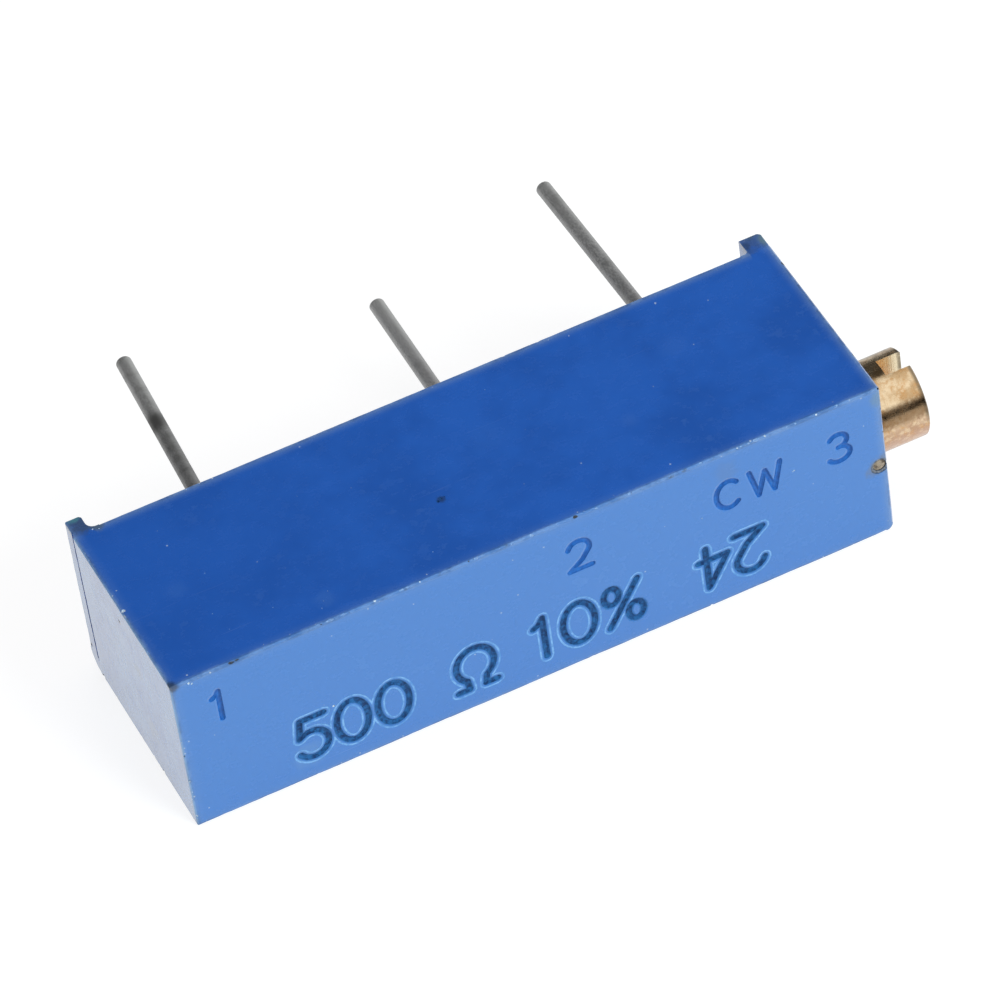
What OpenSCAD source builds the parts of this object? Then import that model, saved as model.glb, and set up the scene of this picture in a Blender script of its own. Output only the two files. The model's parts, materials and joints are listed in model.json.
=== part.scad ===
// Multi-turn trimmer potentiometer, lying on its broad side.
// +X runs to the adjustment screw's head, +Y along the terminal pins and +Z up.
// x = 0 is the middle of the housing's length, y = 0 the middle of its height
// between the marked face and the tips of the feet, and z = 0 the side it rests on.
// The screw turns a lead thread, which moves the carriage and its wiper along the element.

/* [Housing] */
// Length of the housing, without the screw's head
housing_l = 19.05; // [18.8:0.05:20]
// Width of the housing, from the side it rests on up
housing_w = 4.93; // [4.8:0.01:5.4]
// Height from the marked face to the base, without the feet
housing_h = 5.91; // [5.8:0.01:6.4]
// Wall behind the marked face
face_wall = 0.6; // [0.4:0.05:0.7]
// Wall on each broad side of the cavity
side_wall = 0.65; // [0.6:0.05:0.7]
// Wall that holds the screw's pilot
pilot_wall = 1.2; // [1.1:0.05:1.3]
// Block that holds the screw's journal
journal_wall = 3; // [2.8:0.05:3.1]
// Rim beside the base seal, on the broad sides
rim_side = 0.45; // [0.35:0.05:0.5]
// Rim beside the base seal, at the ends
rim_end = 0.7; // [0.6:0.05:0.9]
// Rounding of the outer edges
edge_r = 0.05; // [0.04:0.01:0.15]
// Rounding of the edge below the screw
keel_r = 0.28; // [0.15:0.01:0.5]
// Rounding inside the cavity's corners
inner_r = 0.15; // [0.1:0.01:0.2]
// Rounding of the edges round the base, at the ends
base_r = 0.02; // [0.01:0.01:0.05]

/* [Feet] */
// Height of the feet above the base
foot_h = 0.53; // [0.3:0.01:0.8]
// Thickness of the foot at the pilot end
foot_1_l = 0.42; // [0.3:0.01:0.5]
// Thickness of the foot at the screw end
foot_3_l = 0.58; // [0.4:0.01:0.65]
// Fillet at the root of the foot at the pilot end
foot_1_fillet = 0.22; // [0.05:0.01:0.28]
// Fillet at the root of the foot at the screw end
foot_3_fillet = 0.08; // [0.05:0.01:0.15]
// Step between each end face and its foot
foot_step = 0.02; // [0.01:0.005:0.06]
// Rounding of the lower corner of the foot at the pilot end
foot_corner_r = 0.5; // [0.2:0.01:0.6]

/* [Adjustment screw] */
// Diameter of the screw's head and journal
head_d = 2.35; // [2.2:0.01:2.45]
// Length of the head outside the housing
head_l = 1.54; // [1:0.01:2.2]
// Width of the driver slot
slot_w = 0.56; // [0.4:0.01:0.8]
// Depth of the driver slot
slot_depth = 0.68; // [0.4:0.01:0.9]
// Angle of the driver slot from the upright
slot_turn = 0; // [-90:1:90]
// Chamfer of the head's rim
head_chamfer = 0.03; // [0.02:0.01:0.15]
// Distance of the screw's axis from the marked face
screw_depth = 1.8; // [1.78:0.01:1.9]
// Diameter of the pilot at the far end
pilot_d = 1; // [0.8:0.01:1.2]
// Length of the pilot
pilot_l = 0.85; // [0.6:0.01:0.9]
// Radius at the bottom of the seal ring's groove
ring_groove_r = 0.72; // [0.7:0.01:0.8]
// Width of the seal ring's groove
ring_groove_w = 0.6; // [0.55:0.01:0.7]
// Distance of the seal ring from the end face
ring_inset = 1.35; // [1.2:0.01:1.5]
// Radius at the bottom of the retaining pin's groove
pin_groove_r = 0.8; // [0.75:0.01:0.9]
// Play of the screw's shoulder and pilot along its axis
end_play = 0.05; // [0.03:0.01:0.1]

/* [Lead thread] */
// Pitch of the thread, 32 turns to the inch
pitch = 0.79375; // [0.75:0.00625:0.8125]
// Outer diameter of the thread
thread_d = 1.8; // [1.7:0.01:1.86]
// Depth of the thread
thread_depth = 0.22; // [0.15:0.01:0.24]
// Width of a thread ridge at its root
thread_root_w = 0.48; // [0.42:0.01:0.5]
// Width of a thread ridge at its crest
thread_crest_w = 0.2; // [0.15:0.01:0.25]
// Full turns of the screw from stop to stop
turns = 15; // [10:1:15]

/* [Retaining pin] */
// Diameter of the retaining pin
retainer_d = 0.4; // [0.3:0.01:0.44]
// Play of the retaining pin along the screw, in its groove
retainer_play = 0.04; // [0.02:0.01:0.08]
// Rounding of the retaining pin's ends
retainer_tip_r = 0.06; // [0.03:0.01:0.1]
// Depth of the pin's outer end below the marked face
retainer_sink = 0.04; // [0.04:0.01:0.15]
// Distance of the pin below the screw's axis
retainer_drop = 0.15; // [0:0.01:0.25]
// Diameter of the hole's mouth
retainer_mouth_d = 0.5; // [0.5:0.01:0.6]

/* [Carriage] */
// Length of the carriage
carriage_l = 2.2; // [1.8:0.05:2.3]
// Height of the carriage, over the screw and down its sides
carriage_h = 2.5; // [2.3:0.05:2.6]
// Distance of the carriage from the floor of the cavity
carriage_lift = 0.35; // [0.25:0.05:0.4]
// Diameter of the two posts that hold the wiper
post_d = 0.44; // [0.36:0.01:0.5]
// Distance of each post from the wiper plate's edge
post_inset = 0.35; // [0.3:0.01:0.45]
// How far each staked head reaches over the wiper, all round its post
stake_rim = 0.07; // [0.04:0.01:0.1]
// Height of each staked head over the wiper
stake_h = 0.1; // [0.06:0.01:0.15]
// Height of the runners along the carriage's sides
runner_h = 0.5; // [0.3:0.05:0.8]
// How far the runners stand out from the carriage's sides
runner_t = 0.1; // [0.05:0.01:0.15]
// Distance of each runner from the carriage's floor and top
runner_inset = 0.15; // [0.1:0.01:0.3]

/* [Wiper] */
// Thickness of the wiper's sheet
wiper_t = 0.08; // [0.05:0.01:0.1]
// Length of the wiper's flat plate
wiper_plate_l = 0.95; // [0.85:0.01:1]
// Distance of the plate's edge from the carriage's side
plate_inset = 0.3; // [0.2:0.05:0.4]
// Rounding of the plate's corners
plate_r = 0.08; // [0.05:0.01:0.1]
// Rise angle of the fingers
finger_rise = 38; // [32:1:42]
// Distance of the outer fingers from the edges of their track
finger_inset = 0.1; // [0.05:0.01:0.15]
// Gap between fingers
finger_gap = 0.05; // [0.04:0.01:0.06]
// Fingers on each track
fingers = 3; // [2:1:3]
// Bend radius at the root of the fingers
finger_root_r = 0.5; // [0.3:0.01:0.6]
// Bend radius at the contact
finger_tip_r = 0.22; // [0.18:0.01:0.26]

/* [Element] */
// Thickness of the ceramic substrate
substrate_t = 0.635; // [0.5:0.005:0.7]
// Thickness of the printed tracks
track_t = 0.04; // [0.02:0.005:0.05]
// Bare ceramic between the two tracks
track_split = 0.3; // [0.2:0.01:0.4]
// How far a pad reaches past its solder joint, along the housing
pad_margin = 0.15; // [0.1:0.01:0.25]
// Overlap of the wiper's travel onto each termination pad
pad_overlap = 0.2; // [0.1:0.01:0.4]
// Thickness of the base seal
seal_t = 0.9; // [0.7:0.05:1]
// Depth of the base seal below the housing's rim
seal_recess = 0.1; // [0.05:0.01:0.15]

/* [Terminal pins] */
// Diameter of the terminal pins
pin_d = 0.41; // [0.35:0.01:0.5]
// Place of pin 1's hole along the housing
pin_1_x = -6.22; // [-6.35:0.01:-6.1]
// Distance from pin 1 to pin 2 along the housing, where they are soldered
pitch_12 = 7.62; // [7.4:0.01:7.8]
// Distance from pin 2 to pin 3 along the housing, where they are soldered
pitch_23 = 5.08; // [4.9:0.01:5.2]
// Distance of each row of pins from its broad side: 1.195 puts the rows 2.54 apart
row_inset = 1.2; // [1.16:0.01:1.25]
// Length of pins 1 and 3 outside the base
pin_l = 6.2; // [3:0.05:12]
// Length of pin 2 outside the base
pin_2_l = 6.5; // [3:0.05:12]
// Lean of pin 1 towards the screw
lean_1 = 3.33; // [-5:0.01:5]
// Lean of pin 2 towards the screw
lean_2 = -0.9; // [-5:0.01:5]
// Lean of pin 3 towards the screw
lean_3 = -1.53; // [-5:0.01:5]
// Upward lean of pin 1
lift_1 = -0.86; // [-5:0.01:5]
// Upward lean of pin 2
lift_2 = 3.96; // [-5:0.01:5]
// Upward lean of pin 3
lift_3 = -0.4; // [-5:0.01:5]
// How far pin 1 is set aside within the seal, the way it leans
set_1 = 0.22; // [0:0.01:0.3]
// How far pin 2 is set aside within the seal, the way it leans
set_2 = 0.1; // [0:0.01:0.3]
// How far pin 3 is set aside within the seal, the way it leans
set_3 = 0.23; // [0:0.01:0.3]
// Radius of the pins' bends
bend_r = 0.5; // [0.3:0.1:1]
// Rounding of the pins' tips
tip_r = 0.06; // [0.03:0.01:0.1]
// How far each pin stands through its solder joint
pin_stub = 0.09; // [0.05:0.01:0.15]
// Radius of the hole that each pin takes through the substrate
pin_hole_r = 0.3; // [0.28:0.01:0.32]
// Radius of each solder joint
solder_r = 0.42; // [0.38:0.01:0.45]
// Height of each solder joint
solder_h = 0.24; // [0.18:0.01:0.3]

/* [Fits] */
// Radial clearance of the turning screw in its bores
run_gap = 0.02; // [0.01:0.005:0.05]
// Clearance of the carriage in the cavity
slide_gap = 0.05; // [0.03:0.01:0.08]
// Clearance between the thread and the carriage's half nut
thread_gap = 0.04; // [0.03:0.005:0.05]
// Clearance between the wiper and its tracks
contact_gap = 0.015; // [0.01:0.005:0.03]
// Joint line of potted, soldered and pressed pieces
bond_gap = 0.01; // [0.005:0.005:0.02]

/* [Hidden] */
$fn = 48;

// Heights along Y
face_y = -(housing_h + foot_h) / 2;
base_y = face_y + housing_h;
tip_y = base_y + foot_h;
screw_y = face_y + screw_depth;
seal_y = base_y - seal_recess;
substrate_y = seal_y - seal_t - substrate_t;
track_y = substrate_y - track_t;
contact_y = track_y - contact_gap;
cavity_y = face_y + face_wall;

// Places along X
end_x = housing_l / 2;
cavity_x0 = -end_x + pilot_wall;
cavity_x1 = end_x - journal_wall;
retainer_x = end_x - retainer_d / 2 - 0.005;
ring_x = end_x - ring_inset;
shoulder_x = cavity_x1 + end_play;
pilot_x = cavity_x0 - pilot_l + 2 * end_play;
relief_x = pin_1_x + pitch_12 + pitch_23 + solder_r + pad_margin + 0.15;

// Places along Z
mid_z = housing_w / 2;
cavity_w = housing_w - 2 * side_wall;
pocket_w = housing_w - 2 * rim_side;
pocket_l = housing_l - 2 * rim_end;

// Screw
head_r = head_d / 2;
bore_r = head_r + run_gap;
pilot_r = pilot_d / 2;
pin_groove_w = retainer_d + 2 * retainer_play;
tip_x = end_x + head_l;

// Thread
thread_sides = 16;
crest_r = thread_d / 2;
root_r = crest_r - thread_depth;
thread_x0 = cavity_x0 + 2 * end_play;
thread_end = 0.02;
first_crest_x = thread_x0 + thread_root_w / 2 + thread_end;
thread_turns = floor((cavity_x1 - first_crest_x - thread_root_w / 2) / pitch);
travel = turns * pitch;

// Wiper, from the flat plate up one finger to the contact
finger_rise_h = contact_y - (cavity_y + carriage_lift + carriage_h) - wiper_t / 2;
root_bend_r = finger_root_r + wiper_t / 2;
tip_bend_r = finger_tip_r - wiper_t / 2;
bend_h = (root_bend_r + tip_bend_r) * (1 - cos(finger_rise)) + wiper_t / 2;
finger_l = (finger_rise_h - bend_h) / sin(finger_rise);
finger_run = (root_bend_r + tip_bend_r) * sin(finger_rise) + finger_l * cos(finger_rise);

// Carriage, placed so that the wiper touches the middle of the track at rest
carriage_x = -finger_run;
carriage_y0 = cavity_y + carriage_lift;
carriage_y1 = carriage_y0 + carriage_h;
carriage_w = cavity_w - 2 * slide_gap;
wiper_plate_w = carriage_w - 2 * plate_inset;
post_z = wiper_plate_w / 2 - post_inset;

// Pins: place of the hole along X and Z, leans along X and Z, set, and length outside the base
PINS = [
    [pin_1_x, housing_w - row_inset, lean_1, lift_1, set_1, pin_l],
    [pin_1_x + pitch_12, row_inset, lean_2, lift_2, set_2, pin_2_l],
    [pin_1_x + pitch_12 + pitch_23, housing_w - row_inset, lean_3, lift_3, set_3, pin_l]
];
bend_y = substrate_y + substrate_t + 0.05;

// Each bend of a pin is this much fatter than the wire, whose straights run on into it by the lap
bend_swell = 0.002;
bend_lap = 0.01;

// Tracks, side by side between the two rows of solder joints, and the fingers on them
track_end = travel / 2 - pad_overlap;
track_w = mid_z - track_split / 2 - row_inset - solder_r;
pad_edge = side_wall + bond_gap;
group_w = track_w - 2 * finger_inset;
finger_step = (group_w + finger_gap) / fingers;
finger_w = finger_step - finger_gap;

// ---- Shared shapes ----

// Puts a shape that is turned about its own Z on the screw's axis, its Z along +X
module on_screw_axis() {
    translate([0, screw_y, mid_z]) rotate([0, 90, 0]) children();
}

// Extrudes a flat shape drawn in X and Z along +Y, from y0 to y1
module along_y(y0, y1) {
    translate([0, y1, 0]) rotate([90, 0, 0]) linear_extrude(y1 - y0) children();
}

// Extrudes a flat shape drawn in Y and Z along +X, from x0 to x1
module along_x(x0, x1) {
    translate([x0, 0, 0]) rotate([90, 0, 90]) linear_extrude(x1 - x0) children();
}

// What is taken off a square corner at the origin to round it; it points to -X and -Y
module corner_waste(r) {
    difference() {
        translate([-0.05, -0.05]) square(r + 0.05);
        translate([r, r]) circle(r);
    }
}

// A rectangle with one rounding at each corner, from the lower left round to the lower right
module rounded_box(p0, p1, radii) {
    difference() {
        translate(p0) square(p1 - p0);
        translate(p0) corner_waste(radii[0]);
        translate([p0.x, p1.y]) rotate(-90) corner_waste(radii[1]);
        translate(p1) rotate(180) corner_waste(radii[2]);
        translate([p1.x, p0.y]) rotate(90) corner_waste(radii[3]);
    }
}

// ---- Housing ----

// One foot in X and Y, its outer face at x = 0, with a fillet at its inner root
module foot_outline(l, fillet) {
    translate([0, -0.1]) square([l, foot_h + 0.1]);
    translate([l, 0]) difference() {
        translate([-0.1, -0.1]) square(fillet + 0.1);
        translate([fillet, fillet]) circle(fillet);
    }
}

module housing_outline() {
    rounded_box([-end_x, face_y], [end_x, base_y], [edge_r, base_r, base_r, edge_r]);
    translate([-end_x + foot_step, base_y]) foot_outline(foot_1_l, foot_1_fillet);
    translate([end_x - foot_step, base_y]) mirror([1, 0]) foot_outline(foot_3_l, foot_3_fillet);
}

module housing_shell() {
    intersection() {
        linear_extrude(housing_w) housing_outline();
        along_x(-end_x, end_x)
            rounded_box([face_y, 0], [tip_y, housing_w], [edge_r, edge_r, edge_r, edge_r]);
        along_y(face_y, tip_y)
            rounded_box([-end_x, 0], [end_x, housing_w], [edge_r, edge_r, edge_r, keel_r]);
    }
}

// Cavity for the carriage, and the wider pocket for the substrate and its seal
module housing_hollow() {
    radii = [inner_r, inner_r, inner_r, inner_r];
    along_y(cavity_y, substrate_y + 0.1)
        rounded_box([cavity_x0, side_wall], [cavity_x1, housing_w - side_wall], radii);
    along_y(substrate_y, base_y + 0.1)
        rounded_box([-pocket_l / 2, rim_side], [pocket_l / 2, housing_w - rim_side], radii);
    solder_relief();
}

// Room in the journal block for pin 3's pad and solder
module solder_relief() {
    along_y(track_y - solder_h - pin_stub - 0.06, substrate_y + 0.1)
        translate([cavity_x1 - inner_r, mid_z])
            square([relief_x - cavity_x1 + inner_r, mid_z - side_wall]);
}

module screw_bores() {
    on_screw_axis() {
        translate([0, 0, cavity_x1 - 0.1]) cylinder(r = bore_r, h = journal_wall + 0.2);
        translate([0, 0, cavity_x0 - pilot_l - 0.1]) cylinder(r = pilot_r + run_gap, h = pilot_l + 0.2);
    }
}

module retainer_hole() {
    translate([retainer_x, face_y, mid_z - retainer_drop]) rotate([-90, 0, 0]) {
        cylinder(d = retainer_d + 2 * bond_gap, h = screw_depth);
        translate([0, 0, -0.1]) cylinder(d = retainer_mouth_d, h = retainer_sink + 0.1);
    }
}

module foot_corner() {
    along_x(-end_x - 0.1, -end_x + foot_step + foot_1_l + foot_1_fillet)
        translate([tip_y, 0]) rotate(90) corner_waste(foot_corner_r);
}

module housing() {
    color([0.12, 0.34, 0.72]) difference() {
        housing_shell();
        housing_hollow();
        screw_bores();
        retainer_hole();
        foot_corner();
    }
}

// ---- Screw ----

// Head and journal, turned from bar: radius against place along the screw
module journal_profile() {
    difference() {
        translate([0, shoulder_x]) square([head_r, tip_x - shoulder_x]);
        translate([ring_groove_r, ring_x - ring_groove_w / 2])
            square([head_r, ring_groove_w]);
        translate([pin_groove_r, retainer_x - pin_groove_w / 2])
            square([head_r, pin_groove_w]);
        for (end = [[shoulder_x, 1], [tip_x, -1]])
            translate([head_r, end[0]]) rim_chamfer(end[1]);
    }
}

// The bit that a 45 degree chamfer takes off a turned rim
module rim_chamfer(side) {
    polygon([
        [0.01, -0.01 * side], [-head_chamfer, -0.01 * side],
        [-head_chamfer, 0], [0, head_chamfer * side], [0.01, head_chamfer * side]
    ]);
}

// Ridge height of the thread at a step along its helix: it fades in and out over half a turn
function ridge(step, steps) = max(0, min(1, 2 * step / thread_sides, 2 * (steps - step) / thread_sides));

// One line of the thread at a given side: flat start, then four points for each crest, then flat end
function thread_line(side, x0, x1, first_x, n, r_root, r_crest, w_root, w_crest) = [
    [x0, r_root],
    for (k = [0 : n])
        let (x = first_x + pitch * (k + side / thread_sides))
        let (r = r_root + (r_crest - r_root) * ridge(k * thread_sides + side, n * thread_sides))
        each [[x - w_root / 2, r_root], [x - w_crest / 2, r], [x + w_crest / 2, r], [x + w_root / 2, r_root]],
    [x1, r_root]
];

// Right-hand thread with its core, along +X, closed by flat ends
module thread(first_x, n, grow = 0) {
    x0 = first_x - thread_root_w / 2 - grow - thread_end;
    x1 = first_x + pitch * (n + 1) + thread_root_w / 2 + grow + thread_end;
    last = thread_sides - 1;
    m = 4 * (n + 1) + 2;
    lines = [for (s = [0 : last]) thread_line(
        s, x0, x1, first_x, n, root_r + grow, crest_r + grow,
        thread_root_w + 2 * grow, thread_crest_w + 2 * grow
    )];
    points = [for (s = [0 : last]) let (a = 360 * s / thread_sides)
        for (p = lines[s]) [p.x, p.y * cos(a), p.y * sin(a)]];
    // Between neighbouring sides, then over the seam, where each line meets the next crest
    walls = [
        for (s = [0 : last - 1], j = [0 : m - 2])
            each split([s * m + j, s * m + j + 1, (s + 1) * m + j + 1, (s + 1) * m + j]),
        for (j = [1 : 4 * n - 1])
            each split([last * m + j, last * m + j + 1, j + 5, j + 4])
    ];
    seam_start = [last * m, last * m + 1, 5, 4, 3, 2, 1, 0];
    seam_end = [m - 2, for (j = [4 * n : m - 1]) last * m + j, m - 1];
    start_cap = [for (s = [0 : last]) s * m];
    end_cap = [for (s = [last : -1 : 0]) s * m + m - 1];
    polyhedron(points, concat(walls, [seam_start, seam_end, start_cap, end_cap]), convexity = 10);
}

function split(q) = [[q[0], q[1], q[2]], [q[0], q[2], q[3]]];

module adjustment_screw() {
    color([0.83, 0.66, 0.42]) difference() {
        union() {
            on_screw_axis() {
                rotate_extrude() journal_profile();
                translate([0, 0, pilot_x]) cylinder(r = pilot_r, h = thread_x0 + 0.1 - pilot_x);
            }
            translate([0, screw_y, mid_z]) thread(first_crest_x, thread_turns);
        }
        on_screw_axis() rotate([0, 0, slot_turn])
            translate([-head_r - 0.1, -slot_w / 2, end_x + head_l - slot_depth])
                cube([head_d + 0.2, slot_w, slot_depth + 0.1]);
    }
}

module shaft_seal_ring() {
    color([0.15, 0.15, 0.16]) on_screw_axis() translate([0, 0, ring_x])
        rotate_extrude() translate([(bore_r + ring_groove_r) / 2, 0])
            circle((bore_r - ring_groove_r) / 2 - bond_gap);
}

module retaining_pin() {
    r = retainer_d / 2;
    l = screw_depth - pin_groove_r - retainer_sink - run_gap;
    color([0.72, 0.58, 0.34])
        translate([retainer_x, face_y + retainer_sink, mid_z - retainer_drop]) rotate([-90, 0, 0])
            rotate_extrude() difference() {
                square([r, l]);
                translate([r, 0]) rotate(90) corner_waste(retainer_tip_r);
                translate([r, l]) rotate(180) corner_waste(retainer_tip_r);
            }
}

// ---- Carriage and wiper ----

module carriage_block() {
    l = carriage_l;
    translate([-l / 2, carriage_y0, mid_z - carriage_w / 2 + runner_t])
        cube([l, carriage_h, carriage_w - 2 * runner_t]);
    for (y = [carriage_y0 + runner_inset, carriage_y1 - runner_inset - runner_h])
        translate([-l / 2, y, mid_z - carriage_w / 2])
            cube([l, runner_h, carriage_w]);
    for (side = [-1, 1])
        translate([-wiper_plate_l / 2, carriage_y1, mid_z + side * post_z]) rotate([-90, 0, 0]) {
            translate([0, 0, -0.1]) cylinder(d = post_d, h = 0.1 + wiper_t + stake_h / 2);
            translate([0, 0, wiper_t]) cylinder(d = post_d + 2 * stake_rim, h = stake_h);
        }
}

// The screw's way through the carriage: a half nut above, open to the floor below
module carriage_channel() {
    w = thread_d + 2 * thread_gap + 0.02;
    translate([-carriage_l / 2 - 0.1, carriage_y0 - 0.1, mid_z - w / 2])
        cube([carriage_l + 0.2, screw_y - carriage_y0 + 0.1, w]);
    // The nut is cut by the screw's own thread, grown by its clearance, in phase with the screw
    k = floor((carriage_x - carriage_l / 2 - first_crest_x) / pitch) - 1;
    translate([-carriage_x, screw_y, mid_z]) thread(first_crest_x + k * pitch, 6, thread_gap);
}

module carriage() {
    color([0.92, 0.89, 0.8]) translate([carriage_x, 0, 0]) difference() {
        carriage_block();
        carriage_channel();
    }
}

// A strip of the wiper's sheet bent in an arc: it starts along +X and turns by the angle, up if positive
module bent_strip(r, angle, w) {
    turn = abs(angle);
    translate([0, sign(angle) * r, 0])
        mirror([0, angle > 0 ? 1 : 0, 0])
            rotate([0, 0, 90 - turn])
                rotate_extrude(angle = turn, $fn = 48)
                    translate([r - wiper_t / 2, 0]) square([wiper_t, w]);
}

// One finger from the plate's edge: up, over the contact and down again
module finger() {
    bent_strip(root_bend_r, finger_rise, finger_w);
    translate([root_bend_r * sin(finger_rise), root_bend_r * (1 - cos(finger_rise)), 0])
        rotate(finger_rise) {
            translate([0, -wiper_t / 2, 0]) cube([finger_l, wiper_t, finger_w]);
            translate([finger_l, 0, 0]) bent_strip(tip_bend_r, -2 * finger_rise, finger_w);
        }
}

module wiper_plate() {
    along_y(0, wiper_t)
        rounded_box(
            [-wiper_plate_l, mid_z - wiper_plate_w / 2], [0.02, mid_z + wiper_plate_w / 2],
            [plate_r, plate_r, plate_r, plate_r]
        );
}

module wiper_contact() {
    color([0.86, 0.8, 0.62]) translate([carriage_x, carriage_y1, 0]) {
        difference() {
            wiper_plate();
            for (side = [-1, 1])
                translate([-wiper_plate_l / 2, -0.1, mid_z + side * post_z])
                    rotate([-90, 0, 0]) cylinder(d = post_d + 2 * bond_gap, h = wiper_t + 0.2);
        }
        for (side = [-1, 1], i = [0 : fingers - 1])
            translate([0, wiper_t / 2, mid_z + side * (track_split + track_w) / 2 - group_w / 2])
                translate([0, 0, i * finger_step]) finger();
    }
}

// ---- Element ----

// One hole in X and Z for each pin in the list
module pin_holes(list, r) {
    for (p = list) translate([p[0], p[1]]) circle(r);
}

module element_substrate() {
    color([0.93, 0.92, 0.88])
        along_y(substrate_y, substrate_y + substrate_t) difference() {
            translate([-pocket_l / 2 + slide_gap, rim_side + slide_gap])
                square([pocket_l - 2 * slide_gap, pocket_w - 2 * slide_gap]);
            pin_holes(PINS, pin_hole_r);
        }
}

module resistive_track() {
    color([0.16, 0.14, 0.14])
        along_y(track_y, substrate_y)
            translate([-track_end, mid_z + track_split / 2])
                square([2 * track_end, track_w]);
}

module collector_track() {
    z1 = mid_z - track_split / 2;
    pad_r = solder_r + pad_margin;
    color([0.75, 0.75, 0.72])
        along_y(track_y, substrate_y) difference() {
            union() {
                translate([-travel / 2 - pad_overlap, z1 - track_w])
                    square([travel + 2 * pad_overlap, track_w]);
                translate([PINS[1].x - pad_r, pad_edge])
                    square([2 * pad_r, z1 - pad_edge]);
            }
            pin_holes([PINS[1]], pin_hole_r);
        }
}

// Printed pad from one end of the resistive track out past its pin
module termination_pad(side, pin) {
    inner_x = side * track_end;
    outer_x = pin.x + side * (solder_r + pad_margin);
    z0 = mid_z + track_split / 2;
    color([0.75, 0.75, 0.72])
        along_y(track_y, substrate_y) difference() {
            translate([min(inner_x, outer_x), z0])
                square([abs(outer_x - inner_x), housing_w - pad_edge - z0]);
            pin_holes([pin], pin_hole_r);
        }
}

// ---- Pins, solder and seal ----

// A bend in a wire that runs along +Z, towards +X; what follows is placed at its end
module wire_bend(r, angle) {
    turn = abs(angle);
    if (turn > 0) mirror([angle < 0 ? 1 : 0, 0, 0])
        translate([bend_r, 0, 0]) rotate([90, 0, 180])
            rotate_extrude(angle = turn) translate([bend_r, 0]) circle(r + bend_swell);
    translate([sign(angle) * bend_r * (1 - cos(turn)), 0, bend_r * sin(turn)])
        rotate([0, angle, 0]) children();
}

// Length that a bend takes from each of the two straights it joins
function bend_take(angle) = bend_r * tan(abs(angle) / 2);

// A round wire along +Z: a straight root, a slanting stretch that rises by h, and a free end that leans
module bent_wire(r, slant, h, lean, rise) {
    root_l = bend_y - track_y + solder_h + pin_stub;
    slant_l = h / cos(slant) - bend_take(slant) - bend_take(lean - slant);
    free_l = rise / cos(lean) - bend_take(lean - slant) + bend_lap;
    translate([0, 0, -root_l]) cylinder(r = r, h = root_l - bend_take(slant) + bend_lap);
    translate([0, 0, -bend_take(slant)]) wire_bend(r, slant) {
        translate([0, 0, -bend_lap]) cylinder(r = r, h = slant_l + 2 * bend_lap);
        translate([0, 0, slant_l]) wire_bend(r, lean - slant) translate([0, 0, -bend_lap])
            rotate_extrude() difference() {
                square([r, free_l]);
                translate([r, free_l]) rotate(180) corner_waste(tip_r);
            }
    }
}

// A terminal pin from the list, or the room for it when grown
module terminal_pin(pin, grow = 0) {
    slope = [tan(pin[2]), tan(pin[3])];
    lean = max(atan(norm(slope)), 0.1);
    h = base_y - bend_y;
    translate([pin[0], bend_y, pin[1]])
        rotate([-90, 0, 0]) rotate([0, 0, -atan2(slope.y, slope.x)])
            bent_wire(pin_d / 2 + grow, atan(pin[4] / h), h, lean, pin[5]);
}

// Solder on the pad, drawn up the pin, and down through the hole in the substrate
module solder_joint(pin) {
    pin_r = pin_d / 2 + bond_gap;
    climb_r = min(solder_r - pin_r - 0.03, solder_h - 0.03);
    color([0.66, 0.66, 0.65])
        translate([pin[0], track_y - bond_gap / 2, pin[1]]) rotate([90, 0, 0]) rotate_extrude() {
            difference() {
                translate([pin_r, 0]) square([solder_r - pin_r, solder_h]);
                translate([solder_r + 0.01, solder_h + 0.01]) circle(climb_r);
            }
            translate([pin_r, -substrate_t]) square([pin_hole_r - bond_gap - pin_r, substrate_t + 0.05]);
        }
}

module base_seal() {
    radii = [inner_r, inner_r, inner_r, inner_r];
    inset = rim_side + bond_gap;
    color([0.16, 0.3, 0.52]) difference() {
        along_y(seal_y - seal_t, seal_y)
            rounded_box(
                [-pocket_l / 2 + bond_gap, inset], [pocket_l / 2 - bond_gap, housing_w - inset], radii
            );
        for (p = PINS) terminal_pin(p, bond_gap);
    }
}

housing();
base_seal();
adjustment_screw();
shaft_seal_ring();
retaining_pin();
carriage();
wiper_contact();
element_substrate();
resistive_track();
collector_track();
termination_pad(-1, PINS[0]);  // termination_pad_1
termination_pad(1, PINS[2]);  // termination_pad_3
color([0.6, 0.6, 0.58]) terminal_pin(PINS[0]);  // terminal_pin_1
color([0.6, 0.6, 0.58]) terminal_pin(PINS[1]);  // terminal_pin_2
color([0.6, 0.6, 0.58]) terminal_pin(PINS[2]);  // terminal_pin_3
solder_joint(PINS[0]);  // solder_joint_1
solder_joint(PINS[1]);  // solder_joint_2
solder_joint(PINS[2]);  // solder_joint_3
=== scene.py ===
import json
import math
import random

import bmesh
import bpy
from mathutils import Matrix, Vector

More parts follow.
